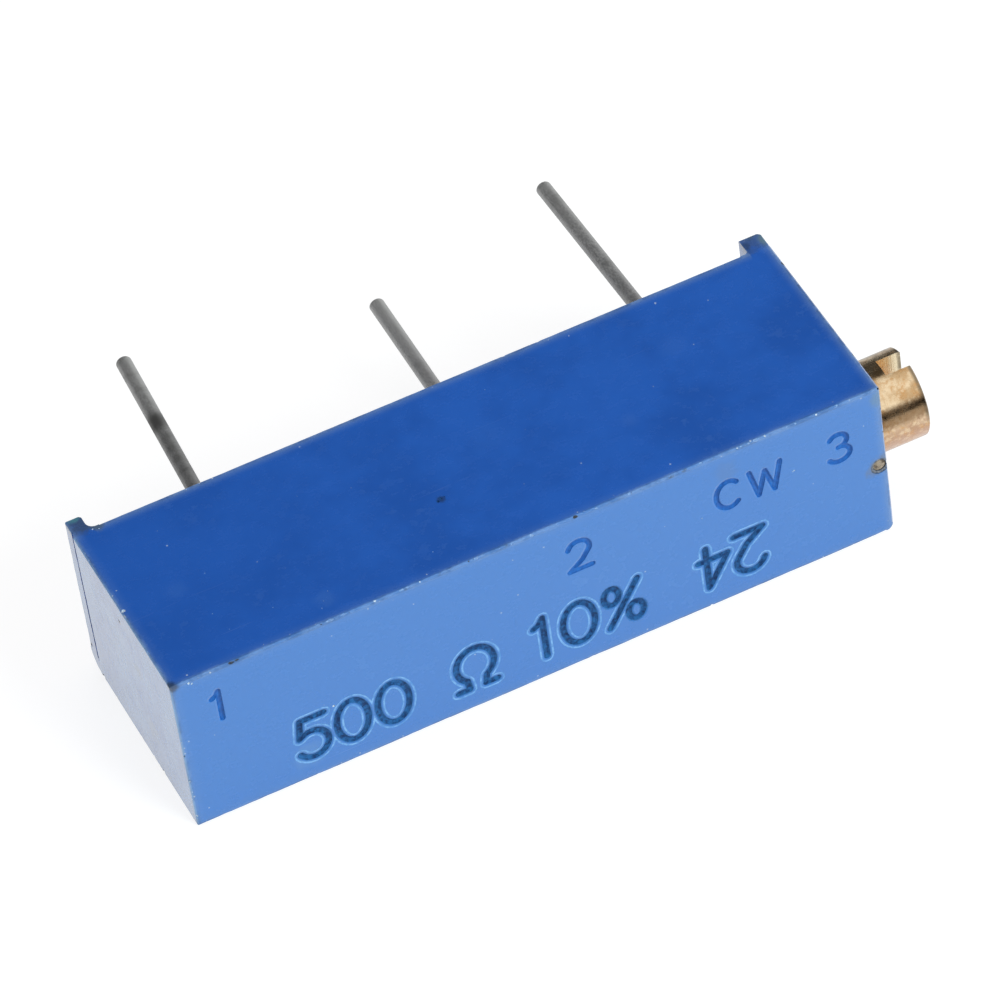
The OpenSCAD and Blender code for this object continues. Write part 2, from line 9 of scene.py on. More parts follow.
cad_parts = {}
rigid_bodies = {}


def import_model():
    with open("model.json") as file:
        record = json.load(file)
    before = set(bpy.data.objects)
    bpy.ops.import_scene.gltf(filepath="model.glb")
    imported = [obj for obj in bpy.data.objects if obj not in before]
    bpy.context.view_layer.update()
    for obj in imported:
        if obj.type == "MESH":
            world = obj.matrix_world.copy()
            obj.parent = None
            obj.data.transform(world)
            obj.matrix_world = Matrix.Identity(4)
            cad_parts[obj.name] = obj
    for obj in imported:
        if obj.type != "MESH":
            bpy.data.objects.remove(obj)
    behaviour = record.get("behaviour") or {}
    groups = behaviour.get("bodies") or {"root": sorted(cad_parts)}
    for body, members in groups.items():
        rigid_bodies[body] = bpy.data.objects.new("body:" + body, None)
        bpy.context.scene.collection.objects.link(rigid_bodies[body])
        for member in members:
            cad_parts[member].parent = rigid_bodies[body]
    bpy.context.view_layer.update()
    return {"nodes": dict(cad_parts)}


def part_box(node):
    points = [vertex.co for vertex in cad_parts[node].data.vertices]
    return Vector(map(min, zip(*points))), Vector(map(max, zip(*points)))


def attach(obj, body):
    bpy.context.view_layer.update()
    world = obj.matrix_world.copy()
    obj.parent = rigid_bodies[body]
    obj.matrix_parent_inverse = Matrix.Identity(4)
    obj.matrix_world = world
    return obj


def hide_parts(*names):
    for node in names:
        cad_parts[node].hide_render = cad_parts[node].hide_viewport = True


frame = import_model()
nodes = frame["nodes"]
mm = 0.001
print("frame loaded:", len(nodes), "solids")


def newMaterial(name):
    material = bpy.data.materials.new(name)
    material.use_nodes = True
    tree = material.node_tree
    return material, tree, tree.nodes["Principled BSDF"]


def plug(socket, value):  # a link or a fixed value
    if isinstance(value, bpy.types.NodeSocket):
        socket.id_data.links.new(value, socket)
    else:
        socket.default_value = value


def addNode(where, kind, inputs=None, **settings):  # where is a tree or a socket in it
    node = where.id_data.nodes.new("ShaderNode" + kind)
    for key, value in settings.items():
        setattr(node, key, value)
    for key, value in (inputs or {}).items():
        plug(node.inputs[key], value)
    return node


def mathNode(operation, a, b=0):
    return addNode(a, "Math", {0: a, 1: b}, operation=operation).outputs[0]


def times(a, b):
    return mathNode("MULTIPLY", a, b)


def plus(a, b):
    return mathNode("ADD", a, b)


def gapTo(value, level):
    return mathNode("ABSOLUTE", mathNode("SUBTRACT", value, level))


def swing(noise, amount):  # noise as a shift to both sides of nothing
    return times(mathNode("SUBTRACT", noise, 0.5), amount)


def spread(value, lo, hi, outLo=0, outHi=1):  # smooth step from lo to hi
    inputs = {"Value": value, "From Min": lo, "From Max": hi, "To Min": outLo, "To Max": outHi}
    return addNode(value, "MapRange", inputs, interpolation_type="SMOOTHSTEP").outputs["Result"]


def blend(factor, a, b):
    return addNode(factor, "Mix", {0: factor, 6: a, 7: b}, data_type="RGBA").outputs[2]


def blendValue(factor, a, b):
    return addNode(factor, "Mix", {0: factor, 2: a, 3: b}, data_type="FLOAT").outputs[0]


def newFinish(name):  # a material, and with it the place on the part in millimetres
    material, tree, shader = newMaterial(name)
    place = addNode(tree, "TexCoord").outputs["Object"]
    place = addNode(tree, "VectorMath", {0: place, "Scale": 1 / mm}, operation="SCALE").outputs[0]
    return material, shader, place


def axesOf(vector):  # its X, Y and Z
    return addNode(vector, "SeparateXYZ", {0: vector}).outputs


def stretched(place, scale, shift=(0, 0, 0), turn=(0, 0, 0)):
    inputs = {"Vector": place, "Scale": scale, "Location": shift, "Rotation": turn}
    return addNode(place, "Mapping", inputs).outputs["Vector"]


def noiseOf(place, scale, detail, roughness=0.55, distortion=0):
    inputs = {"Vector": place, "Scale": scale, "Detail": detail, "Roughness": roughness}
    return addNode(place, "TexNoise", {**inputs, "Distortion": distortion}).outputs["Fac"]


def cellsOf(place, scale, output="Distance"):
    return addNode(place, "TexVoronoi", {"Vector": place, "Scale": scale}).outputs[output]


def distanceTo(place, point):  # point in millimetres
    return addNode(place, "VectorMath", {0: place, 1: point}, operation="DISTANCE").outputs[1]


def bumpOf(height, depth, strength=1, normal=None):  # depth in millimetres
    inputs = {"Height": height, "Distance": depth * mm, "Strength": strength}
    if normal is not None:
        inputs["Normal"] = normal
    return addNode(height, "Bump", inputs).outputs["Normal"]


def feed(shader, colour, roughness, normal, metal=0, fixed=None):
    values = {"Base Color": colour, "Roughness": roughness, "Normal": normal, "Metallic": metal}
    for name, value in {**values, **(fixed or {})}.items():
        plug(shader.inputs[name], value)


def dress(node, material):
    slots = nodes[node].data.materials
    slots.clear()
    slots.append(material)


def rgb(red, green, blue):
    return (red, green, blue, 1)


cameraSpec = {
    "place": (-0.04382082, -0.12701392, 0.13912474),
    "right": (0.8961234766, -0.4301302422, -0.1093192087),
    "up": (0.3784264561, 0.6118840491, 0.6945439711),
    "back": (-0.2318536865, -0.6637664387, 0.7110963246),
    "lens": 281.192,
    "filmAndSheenShare": 36,
    "clip": (0.002, 3),
}


def placed(name, data):  # a new object in the scene
    thing = bpy.data.objects.new(name, data)
    bpy.context.scene.collection.objects.link(thing)
    return thing


def makeCamera(spec):
    camera = bpy.data.cameras.new("camera")
    camera.sensor_width = spec["filmAndSheenShare"]
    camera.lens = spec["lens"]
    camera.clip_start, camera.clip_end = spec["clip"]
    holder = placed("camera", camera)
    turn = Matrix((spec["right"], spec["up"], spec["back"])).transposed()
    holder.matrix_world = Matrix.Translation(spec["place"]) @ turn.to_4x4()
    bpy.context.scene.camera = holder


makeCamera(cameraSpec)
print("camera placed")


studioSpec = {
    "frontBox": {"place": (0.2, -0.39, 0.25), "size": 0.26, "power": 2, "tint": (0.94, 1.03, 1)},
    "topBox": {"place": (0.02, 0.05, 0.5), "size": 0.4, "power": 0.47, "tint": (1, 0.98, 1.02)},
    "leftBox": {"place": (-0.4, 0.02, 0.2), "size": 0.3, "power": 0.3, "tint": (1, 1, 1)},
    "backBox": {"place": (0.2, 0.42, 0.16), "size": 0.3, "power": 0.35, "tint": (1, 1, 1)},
    "roomLight": 0.33,  # what matte surfaces receive from all round
    "openTone": 0.95,
    # dark card behind, up to the left, which keeps the top's colour deep
    "cardTone": 0.05,
    "cardBehind": (0.05, 0.35),
    "cardLeft": (0.7, 0.42),
    # dark band low in front
    "horizonTone": 0.03,
    "horizonHeight": (0.24, 0.4, 1, 0),
    "horizonFront": (-0.05, 0.3, 1, 0),
    "floorReach": 0.75,
    "floorDrop": 0.00001,  # keeps it clear of the side that rests on it
    "floorPlain": rgb(0.8, 0.8, 0.8),
    "floorShade": rgb(0.3, 0.3, 0.3),
    "floorForCamera": 0.8,
    "floorForGloss": 0.66,
}


def addSoftbox(name, spec, aim=(0, 0, 0.0025)):
    lamp = bpy.data.lights.new(name, "AREA")
    lamp.shape = "DISK"
    lamp.size = spec["size"]
    lamp.energy = spec["power"]
    lamp.color = spec["tint"]
    holder = placed(name, lamp)
    place = Vector(spec["place"])
    holder.location = place
    holder.rotation_euler = (Vector(aim) - place).to_track_quat("-Z", "Y").to_euler()
    holder.visible_glossy = False  # reflections come from the world below


def makeWorld(spec):
    world = bpy.data.worlds.new("studio")
    bpy.context.scene.world = world
    world.use_nodes = True
    tree = world.node_tree
    tree.nodes.clear()
    rays = addNode(tree, "LightPath").outputs
    look = addNode(tree, "TexCoord").outputs["Generated"]
    parts = axesOf(look)
    card = times(spread(parts["Y"], *spec["cardBehind"]), spread(parts["X"], *spec["cardLeft"]))
    tone = blendValue(card, spec["openTone"], spec["cardTone"])
    low = spread(parts["Z"], *spec["horizonHeight"])
    lowFront = times(low, spread(parts["Y"], *spec["horizonFront"]))
    tone = blendValue(lowFront, tone, spec["horizonTone"])
    seen = blendValue(rays["Is Glossy Ray"], spec["roomLight"], tone)
    white = mathNode("MAXIMUM", rays["Is Camera Ray"], rays["Is Transmission Ray"])
    seen = blendValue(white, seen, 1)
    background = addNode(tree, "Background", {"Color": rgb(1, 1, 1), "Strength": seen})
    addNode(tree, "OutputWorld", {"Surface": background.outputs[0]})


def makeFloor(spec):
    sheet = bmesh.new()
    bmesh.ops.create_grid(sheet, x_segments=4, y_segments=4, size=spec["floorReach"])
    mesh = bpy.data.meshes.new("floor")
    sheet.to_mesh(mesh)
    sheet.free()
    floor = placed("floor", mesh)
    material, tree, shader = newMaterial("palePaper")
    tree.nodes.remove(shader)
    rays = addNode(tree, "LightPath").outputs
    plain = addNode(tree, "BsdfDiffuse", {"Color": spec["floorPlain"]}).outputs[0]
    bright = blendValue(rays["Is Glossy Ray"], spec["floorForCamera"], spec["floorForGloss"])
    glow = addNode(tree, "Emission", {"Color": rgb(1, 1, 1), "Strength": bright}).outputs[0]
    shade = addNode(tree, "BsdfDiffuse", {"Color": spec["floorShade"]}).outputs[0]
    white = addNode(tree, "AddShader", {0: glow, 1: shade}).outputs[0]
    seen = mathNode("MAXIMUM", rays["Is Camera Ray"], rays["Is Glossy Ray"])
    seen = mathNode("MAXIMUM", seen, rays["Is Transmission Ray"])
    both = addNode(tree, "MixShader", {0: seen, 1: plain, 2: white}).outputs[0]
    tree.links.new(both, tree.nodes["Material Output"].inputs["Surface"])
    mesh.materials.append(material)
    floor.location = (0, 0, -spec["floorDrop"])


for boxName in ("frontBox", "topBox", "leftBox", "backBox"):
    addSoftbox(boxName, studioSpec[boxName])
makeWorld(studioSpec)
makeFloor(studioSpec)
bpy.context.scene.view_settings.view_transform = "Standard"
print("light and floor set")


housingLow, housingHigh = [corner * 1000 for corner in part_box("housing")]
footHeight = 0.53  # above the base
footInner = 8.95  # from the middle to the inner wall of a foot
faceY = housingLow.y
tipY = housingHigh.y
baseY = tipY - footHeight
endX = housingHigh.x
topZ = housingHigh.z

plasticSpec = {
    "body": rgb(0.0125, 0.108, 0.495),
    "bodyDeep": rgb(0.008, 0.085, 0.41),
    "markedSideSheen": rgb(0.018, 0.17, 0.545),  # the marked side is painted a little paler and greener: a painted sheen
    "edgeDark": rgb(0.022, 0.075, 0.2),
    "edgeWearAndSheen": rgb(0.16, 0.275, 0.5),
    # paler colour at the edges: partly wear, partly a painted highlight
    "grime": rgb(0.02, 0.035, 0.055),
    "chip": rgb(0.62, 0.7, 0.8),
    "filmAndSheen": rgb(0.345, 0.61, 0.92),  # whitish on the plain end: a dry film, and partly a painted reflection of the light on that end
    "engraved": rgb(0.004, 0.03, 0.115),
    "engravedThin": rgb(0.02, 0.13, 0.36),
    "singed": rgb(0.025, 0.16, 0.48),
    "lip": rgb(0.17, 0.42, 0.78),
    # painted shade: the recessed signs are painted darker than the plastic
    "recessShade": rgb(0.008, 0.09, 0.37),
    "roughness": 0.22,
    "sockets": {"IOR": 1.5, "Coat Weight": 1, "Coat Roughness": 0.16, "Coat IOR": 1.5},
    # noises: scale, detail, roughness
    "cloud": (0.35, 4, 0.6),
    "mottle": (3.2, 5, 0.65),
    "fine": (22, 3, 0.6),
    "peel": (2.4, 2, 0.4),
    "smears": (1.1, 4, 0.5),
    "deepening": (-1, -9, 0, 0.5),  # along the length, towards the plain end
    "haze": 0.06,
    # bands beside an outer edge: where they start and are full, in millimetres
    "wearAndSheenBand": (0.34, 0.03),
    "greyLine": (0.13, 0.045),
    "grimeLine": (0.1, 0.03),
    "fleckZone": (0.25, 0.05),
    "wearAndSheenShare": 0.14,
    "wearAndSheenShareFar": 0.34,  # more along the base and at the screw's end
    "farReach": (0.4, 0.35),
    "fleckCells": 6,
    "footWall": 8.925,  # the inner wall of foot 3
    "scuffs": ((0.5, 3), (-0.9, 11)),  # turn, seed
}

plasticStains = (  # place in millimetres, radius, colour, strength
    (-9.15, 2.95, 4.93, 0.5, rgb(0.04, 0.075, 0.16), 0.9),
    (-9.3, 3.24, 4.9, 0.24, rgb(0.06, 0.2, 0.27), 0.9),
    (-8.9, 2.68, 4.93, 0.26, rgb(0.07, 0.11, 0.16), 0.75),
    (-9.5, -3.2, 4.93, 0.24, rgb(0.015, 0.03, 0.06), 0.8),
    (9.2, 3, 4.93, 0.5, rgb(0.04, 0.09, 0.25), 0.85),
    (9.25, 3.25, 4.93, 0.26, rgb(0.045, 0.08, 0.11), 0.95),
    (9.48, 2.95, 4.93, 0.28, rgb(0.11, 0.19, 0.25), 0.85),
    (8.98, 2.9, 4.93, 0.2, rgb(0.025, 0.06, 0.16), 0.8),
    (9.32, -3.22, 2.315, 0.42, rgb(0.1, 0.13, 0.18), 0.85),
    (9.5, -3.2, 4.6, 0.34, rgb(0.1, 0.21, 0.34), 0.6),
    (-9.525, -0.72, 3.23, 0.3, rgb(0.2, 0.26, 0.32), 0.5),
    (-9.525, -1, 1.4, 0.5, rgb(0.24, 0.32, 0.42), 0.4),
    (-9.525, 0.02, 4.3, 0.13, rgb(0.2, 0.16, 0.16), 0.8),
    (5.9, 0.73, 4.93, 0.5, rgb(0.05, 0.15, 0.5), 0.14),
    (3.8, -0.96, 4.93, 0.3, rgb(0.05, 0.15, 0.5), 0.18),
    (0.6, 0.35, 4.93, 0.7, rgb(0.03, 0.13, 0.48), 0.14),
    (-8.1, -0.34, 4.93, 0.4, rgb(0.04, 0.14, 0.47), 0.2),
    (-6.4, -3.22, 0.8, 0.5, rgb(0.1, 0.26, 0.52), 0.3),
    (-1.28, -0.96, 4.93, 0.15, rgb(0.012, 0.04, 0.13), 0.8),
    (-5.1, -2.5, 4.93, 0.35, rgb(0.05, 0.16, 0.5), 0.25),
    (5.3, -3.22, 4.3, 0.4, rgb(0.07, 0.16, 0.36), 0.3),
)


def edgeNearness(place, wobble):  # gap in millimetres to the nearest outer edge
    parts = axesOf(place)
    # the long edge behind runs along the base, and round the feet along their tips
    atFoot = mathNode("GREATER_THAN", mathNode("ABSOLUTE", parts["X"]), footInner)
    rear = plus(times(atFoot, tipY - baseY), baseY)
    gaps = []
    for axis, low, high in (("X", -endX, endX), ("Y", faceY, rear), ("Z", 0, topZ)):
        gaps.append(mathNode("MINIMUM", gapTo(parts[axis], low), gapTo(parts[axis], high)))
    low = mathNode("MINIMUM", gaps[0], gaps[1])
    high = mathNode("MAXIMUM", gaps[0], gaps[1])
    second = mathNode("MAXIMUM", low, mathNode("MINIMUM", high, gaps[2]))
    return plus(second, wobble), parts


def bluePlastic():
    spec = plasticSpec
    material, shader, place = newFinish("bluePlastic")
    cloud = noiseOf(place, *spec["cloud"])
    mottle = noiseOf(place, *spec["mottle"])
    fine = noiseOf(place, *spec["fine"])
    edgeGap, parts = edgeNearness(place, swing(fine, 0.08))
    colour = blend(spread(cloud, 0.35, 0.65), spec["body"], spec["bodyDeep"])
    colour = blend(spread(parts["X"], *spec["deepening"]), colour, spec["bodyDeep"])
    # painted sheen: the marked side is painted paler and greener than the rest of the plastic
    marked = spread(parts["Y"], faceY + 0.09, faceY + 0.03)
    colour = blend(marked, colour, spec["markedSideSheen"])
    haze = times(spread(mottle, 0.5, 0.8), spread(cloud, 0.48, 0.66))
    colour = blend(times(haze, spec["haze"]), colour, spec["filmAndSheen"])
    # band along every outer edge: soft, wide and paler, partly rubbed and partly a painted highlight; then
    # a greyed line, pale or dark by turns
    rubbed = spread(noiseOf(place, 0.9, 4, 0.7), 0.38, 0.6, 0.45, 1)
    tone = spread(noiseOf(place, 1.7, 5, 0.75), 0.4, 0.6)
    band = blend(tone, spec["edgeDark"], spec["edgeWearAndSheen"])
    alongBase, atScrew = spec["farReach"]
    nearBase = spread(parts["Y"], baseY - alongBase, baseY)
    farSides = mathNode("MAXIMUM", nearBase, spread(parts["X"], endX - atScrew, endX))
    wide = plus(times(farSides, spec["wearAndSheenShareFar"]), spec["wearAndSheenShare"])
    wide = times(spread(edgeGap, *spec["wearAndSheenBand"]), wide)
    colour = blend(wide, colour, spec["edgeWearAndSheen"])
    worn = times(spread(edgeGap, *spec["greyLine"]), rubbed)
    colour = blend(times(worn, 0.5), colour, band)
    dirty = spread(noiseOf(place, 2.6, 5, 0.75), 0.6, 0.7)
    grime = times(spread(edgeGap, *spec["grimeLine"]), dirty)
    colour = blend(times(grime, 0.7), colour, spec["grime"])
    # whitish flecks: many by the edges, few on the faces
    cell = cellsOf(place, spec["fleckCells"])
    pick = cellsOf(place, spec["fleckCells"], "Color")
    pick = addNode(pick, "SeparateColor", {0: pick}).outputs
    chance = plus(times(spread(edgeGap, *spec["fleckZone"]), 0.3), 0.02)
    chosen = mathNode("LESS_THAN", pick[0], chance)
    size = plus(times(pick[1], 0.1), 0.05)
    ragged = mathNode("SUBTRACT", plus(cell, swing(fine, 0.3)), size)
    fleck = times(spread(ragged, 0.03, -0.03), chosen)
    colour = blend(times(fleck, 0.6), colour, spec["chip"])
    # the plain end and the inner wall of foot 3 are painted whitish: a dry film, and partly a painted
    # reflection
    footWall = spread(gapTo(parts["X"], spec["footWall"]), 0.02, 0.008)
    footWall = times(footWall, spread(parts["Y"], baseY + 0.05, baseY + 0.12))
    plainEnd = mathNode("MAXIMUM", spread(parts["X"], -endX + 0.06, -endX + 0.01), footWall)
    smears = noiseOf(stretched(place, (1, 1.6, 0.7), turn=(0.5, 0, 0)), *spec["smears"])
    filmAndSheenShare = times(plainEnd, spread(smears, 0.35, 0.62, 0.3, 0.5))
    colour = blend(filmAndSheenShare, colour, spec["filmAndSheen"])
    # stains and rubbed places that stay where they are
    for x, y, z, radius, tint, strength in plasticStains:
        gap = plus(distanceTo(place, (x, y, z)), swing(mottle, radius * 1.6))
        stain = times(spread(gap, radius, radius * 0.3), strength)
        colour = blend(stain, colour, tint)
    # light scuffs, long and thin, in two directions
    scuffs = None
    for turn, seed in spec["scuffs"]:
        lane = stretched(place, (0.25, 14, 14), (seed, seed, seed), (0.2, 0.3, turn))
        lane = spread(noiseOf(lane, 1, 2, 0.5), 0.7, 0.78)
        area = noiseOf(stretched(place, (1, 1, 1), (seed, 0, 0)), 0.5, 2)
        scuff = times(lane, spread(area, 0.52, 0.66))
        scuffs = scuff if scuffs is None else mathNode("MAXIMUM", scuffs, scuff)
    colour = blend(times(scuffs, 0.05), colour, spec["chip"])
    rough = plus(spread(mottle, 0.3, 0.8, 0, 0.1), spec["roughness"])
    rough = plus(rough, times(mathNode("MAXIMUM", worn, scuffs), 0.3))
    normal = bumpOf(noiseOf(place, *spec["peel"]), 0.003, 0.5)
    normal = bumpOf(fine, 0.0003, 0.5, normal)
    normal = bumpOf(mathNode("MAXIMUM", fleck, worn), -0.01, 0.4, normal)
    feed(shader, colour, rough, normal, fixed=spec["sockets"])
    return material


def engravedInk():  # scorched floor of the engraved strokes, burnt in fine rows
    spec = plasticSpec
    material, shader, place = newFinish("engravedInk")
    grain = noiseOf(place, 9, 5, 0.7)
    rows = noiseOf(stretched(place, (3, 3, 18)), 1, 3, 0.6)
    colour = blend(spread(grain, 0.38, 0.64), spec["engraved"], spec["engravedThin"])
    colour = blend(spread(rows, 0.52, 0.7, 0, 0.6), colour, spec["engravedThin"])
    relief = bumpOf(grain, 0.02, 0.9)
    feed(shader, colour, 0.6, relief, fixed={"Specular IOR Level": 0.3})
    return material


# grain is a noise: scale, detail, roughness. cloud is another, where the tones don't follow the grain.
# turn is where the first tone becomes the second, and relief is the grain's depth and strength.
plainFinishes = {
    "swollenLip": {  # paler plastic pushed up beside the engraving
        "grain": (7, 4, 0.6),
        "turn": (0.35, 0.65), "tones": (plasticSpec["lip"], rgb(0.05, 0.24, 0.6)),
        "roughness": 0.3, "relief": (0.006, 0.6), "sockets": {"Coat Weight": 0.6, "Coat Roughness": 0.2},
    },
    "singedRim": {  # plastic at the strokes' shoulders, browned by the heat
        "grain": (12, 4, 0.65),
        "turn": (0.38, 0.62), "tones": (plasticSpec["engravedThin"], plasticSpec["singed"]),
        "roughness": 0.45, "relief": (0.01, 0.7),
    },
    "shadedRecess": {  # the moulded signs and the groove at foot 1: duller than the polished side round them, and painted darker as shade in the recess
        "grain": (10, 4, 0.6),
        "turn": (0.35, 0.7), "tones": (plasticSpec["recessShade"], rgb(0.016, 0.15, 0.52)),
        "roughness": 0.42, "relief": (0.006, 0.6), "sockets": {"Specular IOR Level": 0.4},
    },
    "freshChip": {  # broken plastic, pale and dry
        "grain": (25, 4, 0.7),
        "turn": (0.3, 0.65), "tones": (rgb(0.3, 0.44, 0.62), rgb(0.78, 0.84, 0.9)),
        "roughness": 0.6, "relief": (0.01, 0.8),
    },
    "faintNick": {  # shallow bruise, a little paler than the side
        "grain": (25, 4, 0.7),
        "turn": (0.3, 0.65), "tones": (rgb(0.09, 0.24, 0.55), rgb(0.3, 0.45, 0.7)),
        "roughness": 0.5, "relief": (0.01, 0.8),
    },
    "packedDirt": {  # old dirt held in the nicks
        "grain": (20, 4, 0.7),
        "turn": (0.35, 0.65), "tones": (rgb(0.02, 0.035, 0.065), rgb(0.07, 0.075, 0.09)),
        "roughness": 0.7, "relief": (0.01, 0.8),
    },
    "hardenedGrit": {  # greyish dust and grease round the retaining pin
        "grain": (16, 5, 0.7),
        "turn": (0.35, 0.65), "tones": (rgb(0.05, 0.07, 0.11), rgb(0.22, 0.24, 0.28)),
        "roughness": 0.6, "relief": (0.01, 0.8),
    },
    "sealRubber": {
        "grain": (12, 5, 0.65),
        "turn": (0.4, 0.75), "tones": (rgb(0.022, 0.022, 0.024), rgb(0.05, 0.05, 0.054)),
        "roughness": (0.3, 0.8, 0.5, 0.72), "relief": (0.006, 0.7),
    },
    "carriageNylon": {
        "grain": (15, 4, 0.6), "cloud": (1.4, 3, 0.5),
        "turn": (0.3, 0.7), "tones": (rgb(0.72, 0.69, 0.58), rgb(0.8, 0.77, 0.68)),
        "roughness": (0.3, 0.7, 0.38, 0.55), "relief": (0.004, 0.6),
        "sockets": {"Subsurface Weight": 0.15, "Subsurface Scale": 0.0006},
    },
    "cermetInk": {  # fired resistive glaze with screen marks
        "grain": (1, 3, 0.5), "stretch": (14, 1, 14), "cloud": (25, 4, 0.7),
        "turn": (0.35, 0.7), "tones": (rgb(0.018, 0.017, 0.019), rgb(0.05, 0.047, 0.05)),
        "roughness": (0.3, 0.7, 0.24, 0.4), "relief": (0.004, 0.7),
    },
    "silverInk": {  # fired silver-palladium paste
        "grain": (20, 5, 0.7), "cloud": (1.8, 3, 0.6),
        "turn": (0.35, 0.65), "tones": (rgb(0.62, 0.62, 0.6), rgb(0.52, 0.51, 0.48)),
        "roughness": (0.3, 0.7, 0.42, 0.62), "relief": (0.004, 0.8), "metal": 0.9,
    },
}


def plainFinish(name):
    spec = plainFinishes[name]
    material, shader, place = newFinish(name)
    lanes = stretched(place, spec["stretch"]) if "stretch" in spec else place
    grain = noiseOf(lanes, *spec["grain"])
    cloud = noiseOf(place, *spec["cloud"]) if "cloud" in spec else grain
    colour = blend(spread(cloud, *spec["turn"]), *spec["tones"])
    rough = spec["roughness"]
    if isinstance(rough, tuple):
        rough = spread(grain, *rough)
    relief = bumpOf(grain, *spec["relief"])
    feed(shader, colour, rough, relief, spec.get("metal", 0), spec.get("sockets"))
    return material


markSpec = {
    "sides": 10,  # of a stroke's section
    "step": 0.06,  # between two sections
    "lift": 0.03,  # of a cutter above the face, at most
    "loopShare": 0.88,  # how much of a small loop a stroke may fill
    "capTurns": (0.5, 0.95, 1.3),  # sections of a round end
    "sharpest": 0.5,  # a stroke is parted where it bends more
    # a soft shoulder, then the groove, which sits a little to the right and below
    "terminalRow": {
        "height": 0.94,
        "shoulder": 0.108,
        "shoulderDepth": 0.024,
        "stroke": 0.08,
        "depth": 0.065,
        "shift": (0.016, -0.014),
    },
    # scorched stroke with a singed shoulder, then the plastic beside it in two shallow steps
    "valueRow": {
        "height": 1.34,
        "steps": ((0.198, 0.005, 1), (0.17, 0.01, 0), (0.122, 0.026, 4), (0.092, 0.06, 2)),
    },
    # character, left edge, foot, width, share of the row's height, and True where it is turned over
    "terminalSigns": (
        ("1", -8.62, 3.25, 0.36, 1),
        ("2", 0.9, 3.16, 0.6, 1),
        ("C", 4.9, 3.08, 0.68, 0.94),
        ("W", 5.84, 3.08, 0.84, 0.9),
        ("3", 8, 3.06, 0.58, 0.97),
    ),
    "valueSigns": (
        ("5", -6.66, 0.68, 0.84, 1),
        ("0", -5.6, 0.68, 0.84, 1),
        ("0", -4.5, 0.68, 0.84, 1),
        ("ohm", -2.42, 0.68, 1.1, 1),
        ("1", -0.3, 0.7, 0.5, 1),
        ("0", 0.52, 0.7, 0.86, 1),
        ("percent", 1.66, 0.7, 1.02, 1),
        ("4", 4.24, 0.66, 0.8, 1, True),
        ("2", 5.24, 0.66, 0.8, 1, True),
    ),
}


def arc(cx, cy, rx, ry, start, stop, steps=14):  # angles in degrees
    turns = [math.radians(start + (stop - start) * i / steps) for i in range(steps + 1)]
    return [(cx + rx * math.cos(t), cy + ry * math.sin(t)) for t in turns]


signStrokes = {  # strokes in a box 1 wide and 1 high
    "0": [arc(0.5, 0.5, 0.5, 0.5, 90, 450, 30)],
    "1": [[(0.1, 0.8), (0.4, 0.86), (0.62, 1), (0.62, 0.5), (0.62, 0)]],
    "2": [arc(0.5, 0.72, 0.48, 0.28, 165, -25) + [(0.6, 0.3), (0, 0)], [(0, 0), (1, 0)]],
    "3": [arc(0.45, 0.76, 0.42, 0.24, 150, -90), arc(0.45, 0.27, 0.52, 0.27, 80, -150, 16)],
    "4": [[(0.72, 0), (0.72, 1)], [(0.72, 1), (0, 0.3)], [(0, 0.3), (1, 0.3)]],
    "5": [
        [(0.92, 1), (0.16, 1)],
        [(0.16, 1), (0.08, 0.56)],
        [(0.08, 0.56)] + arc(0.46, 0.33, 0.5, 0.33, 118, -148, 18),
    ],
    "C": [arc(0.52, 0.5, 0.5, 0.5, 48, 312, 22)],
    "W": [
        [(0, 1), (0.24, 0)],
        [(0.24, 0), (0.5, 0.86)],
        [(0.5, 0.86), (0.76, 0)],
        [(0.76, 0), (1, 1)],
    ],
    "ohm": [
        arc(0.5, 0.58, 0.46, 0.42, 238, 90) + arc(0.5, 0.58, 0.46, 0.42, 90, -58)[1:],
        [(0.02, 0), (0.3, 0)],
        [(0.3, 0), (0.26, 0.22)],
        [(0.98, 0), (0.7, 0)],
        [(0.7, 0), (0.74, 0.22)],
    ],
    "percent": [
        arc(0.2, 0.78, 0.2, 0.21, 90, 450, 18),
        arc(0.8, 0.22, 0.2, 0.21, 90, 450, 18),
        [(0.92, 1), (0.08, 0)],
    ],
}


def partedAtCorners(path):  # a sweep round a sharp corner would cross itself
    runs, run = [], [path[0]]
    for before, point, after in zip(path, path[1:], path[2:]):
        run.append(point)
        one, two = Vector(point) - Vector(before), Vector(after) - Vector(point)
        if one.length > 0 and two.length > 0 and one.angle(two) > markSpec["sharpest"]:
            runs.append(run)
            run = [point]
    return runs + [run + [path[-1]]]


def laidOut(signs, height):  # strokes as points on the marked face, in millimetres
    paths = []
    for sign, left, foot, width, share, *turned in signs:
        for stroke in signStrokes[sign]:
            path = []
            for across, up in stroke:
                if turned:
                    across, up = 1 - across, 1 - up
                path.append((left + across * width, foot + up * height * share))
            paths += partedAtCorners(path)
    return paths


def finerPath(path, step):
    points = [Vector(path[0])]
    for target in path[1:]:
        start, here = points[-1].copy(), Vector(target)
        pieces = max(1, round((here - start).length / step))
        points += [start.lerp(here, i / pieces) for i in range(1, pieces + 1)]
    return points


def takeSlot(mesh, already, slot):  # for the faces that were made since already
    mesh.faces.ensure_lookup_table()
    for face in mesh.faces[already:]:
        face.material_index = slot


def joinRings(mesh, one, two):
    count = len(one)
    for k in range(count):
        after = (k + 1) % count
        mesh.faces.new((one[k], one[after], two[after], two[k]))


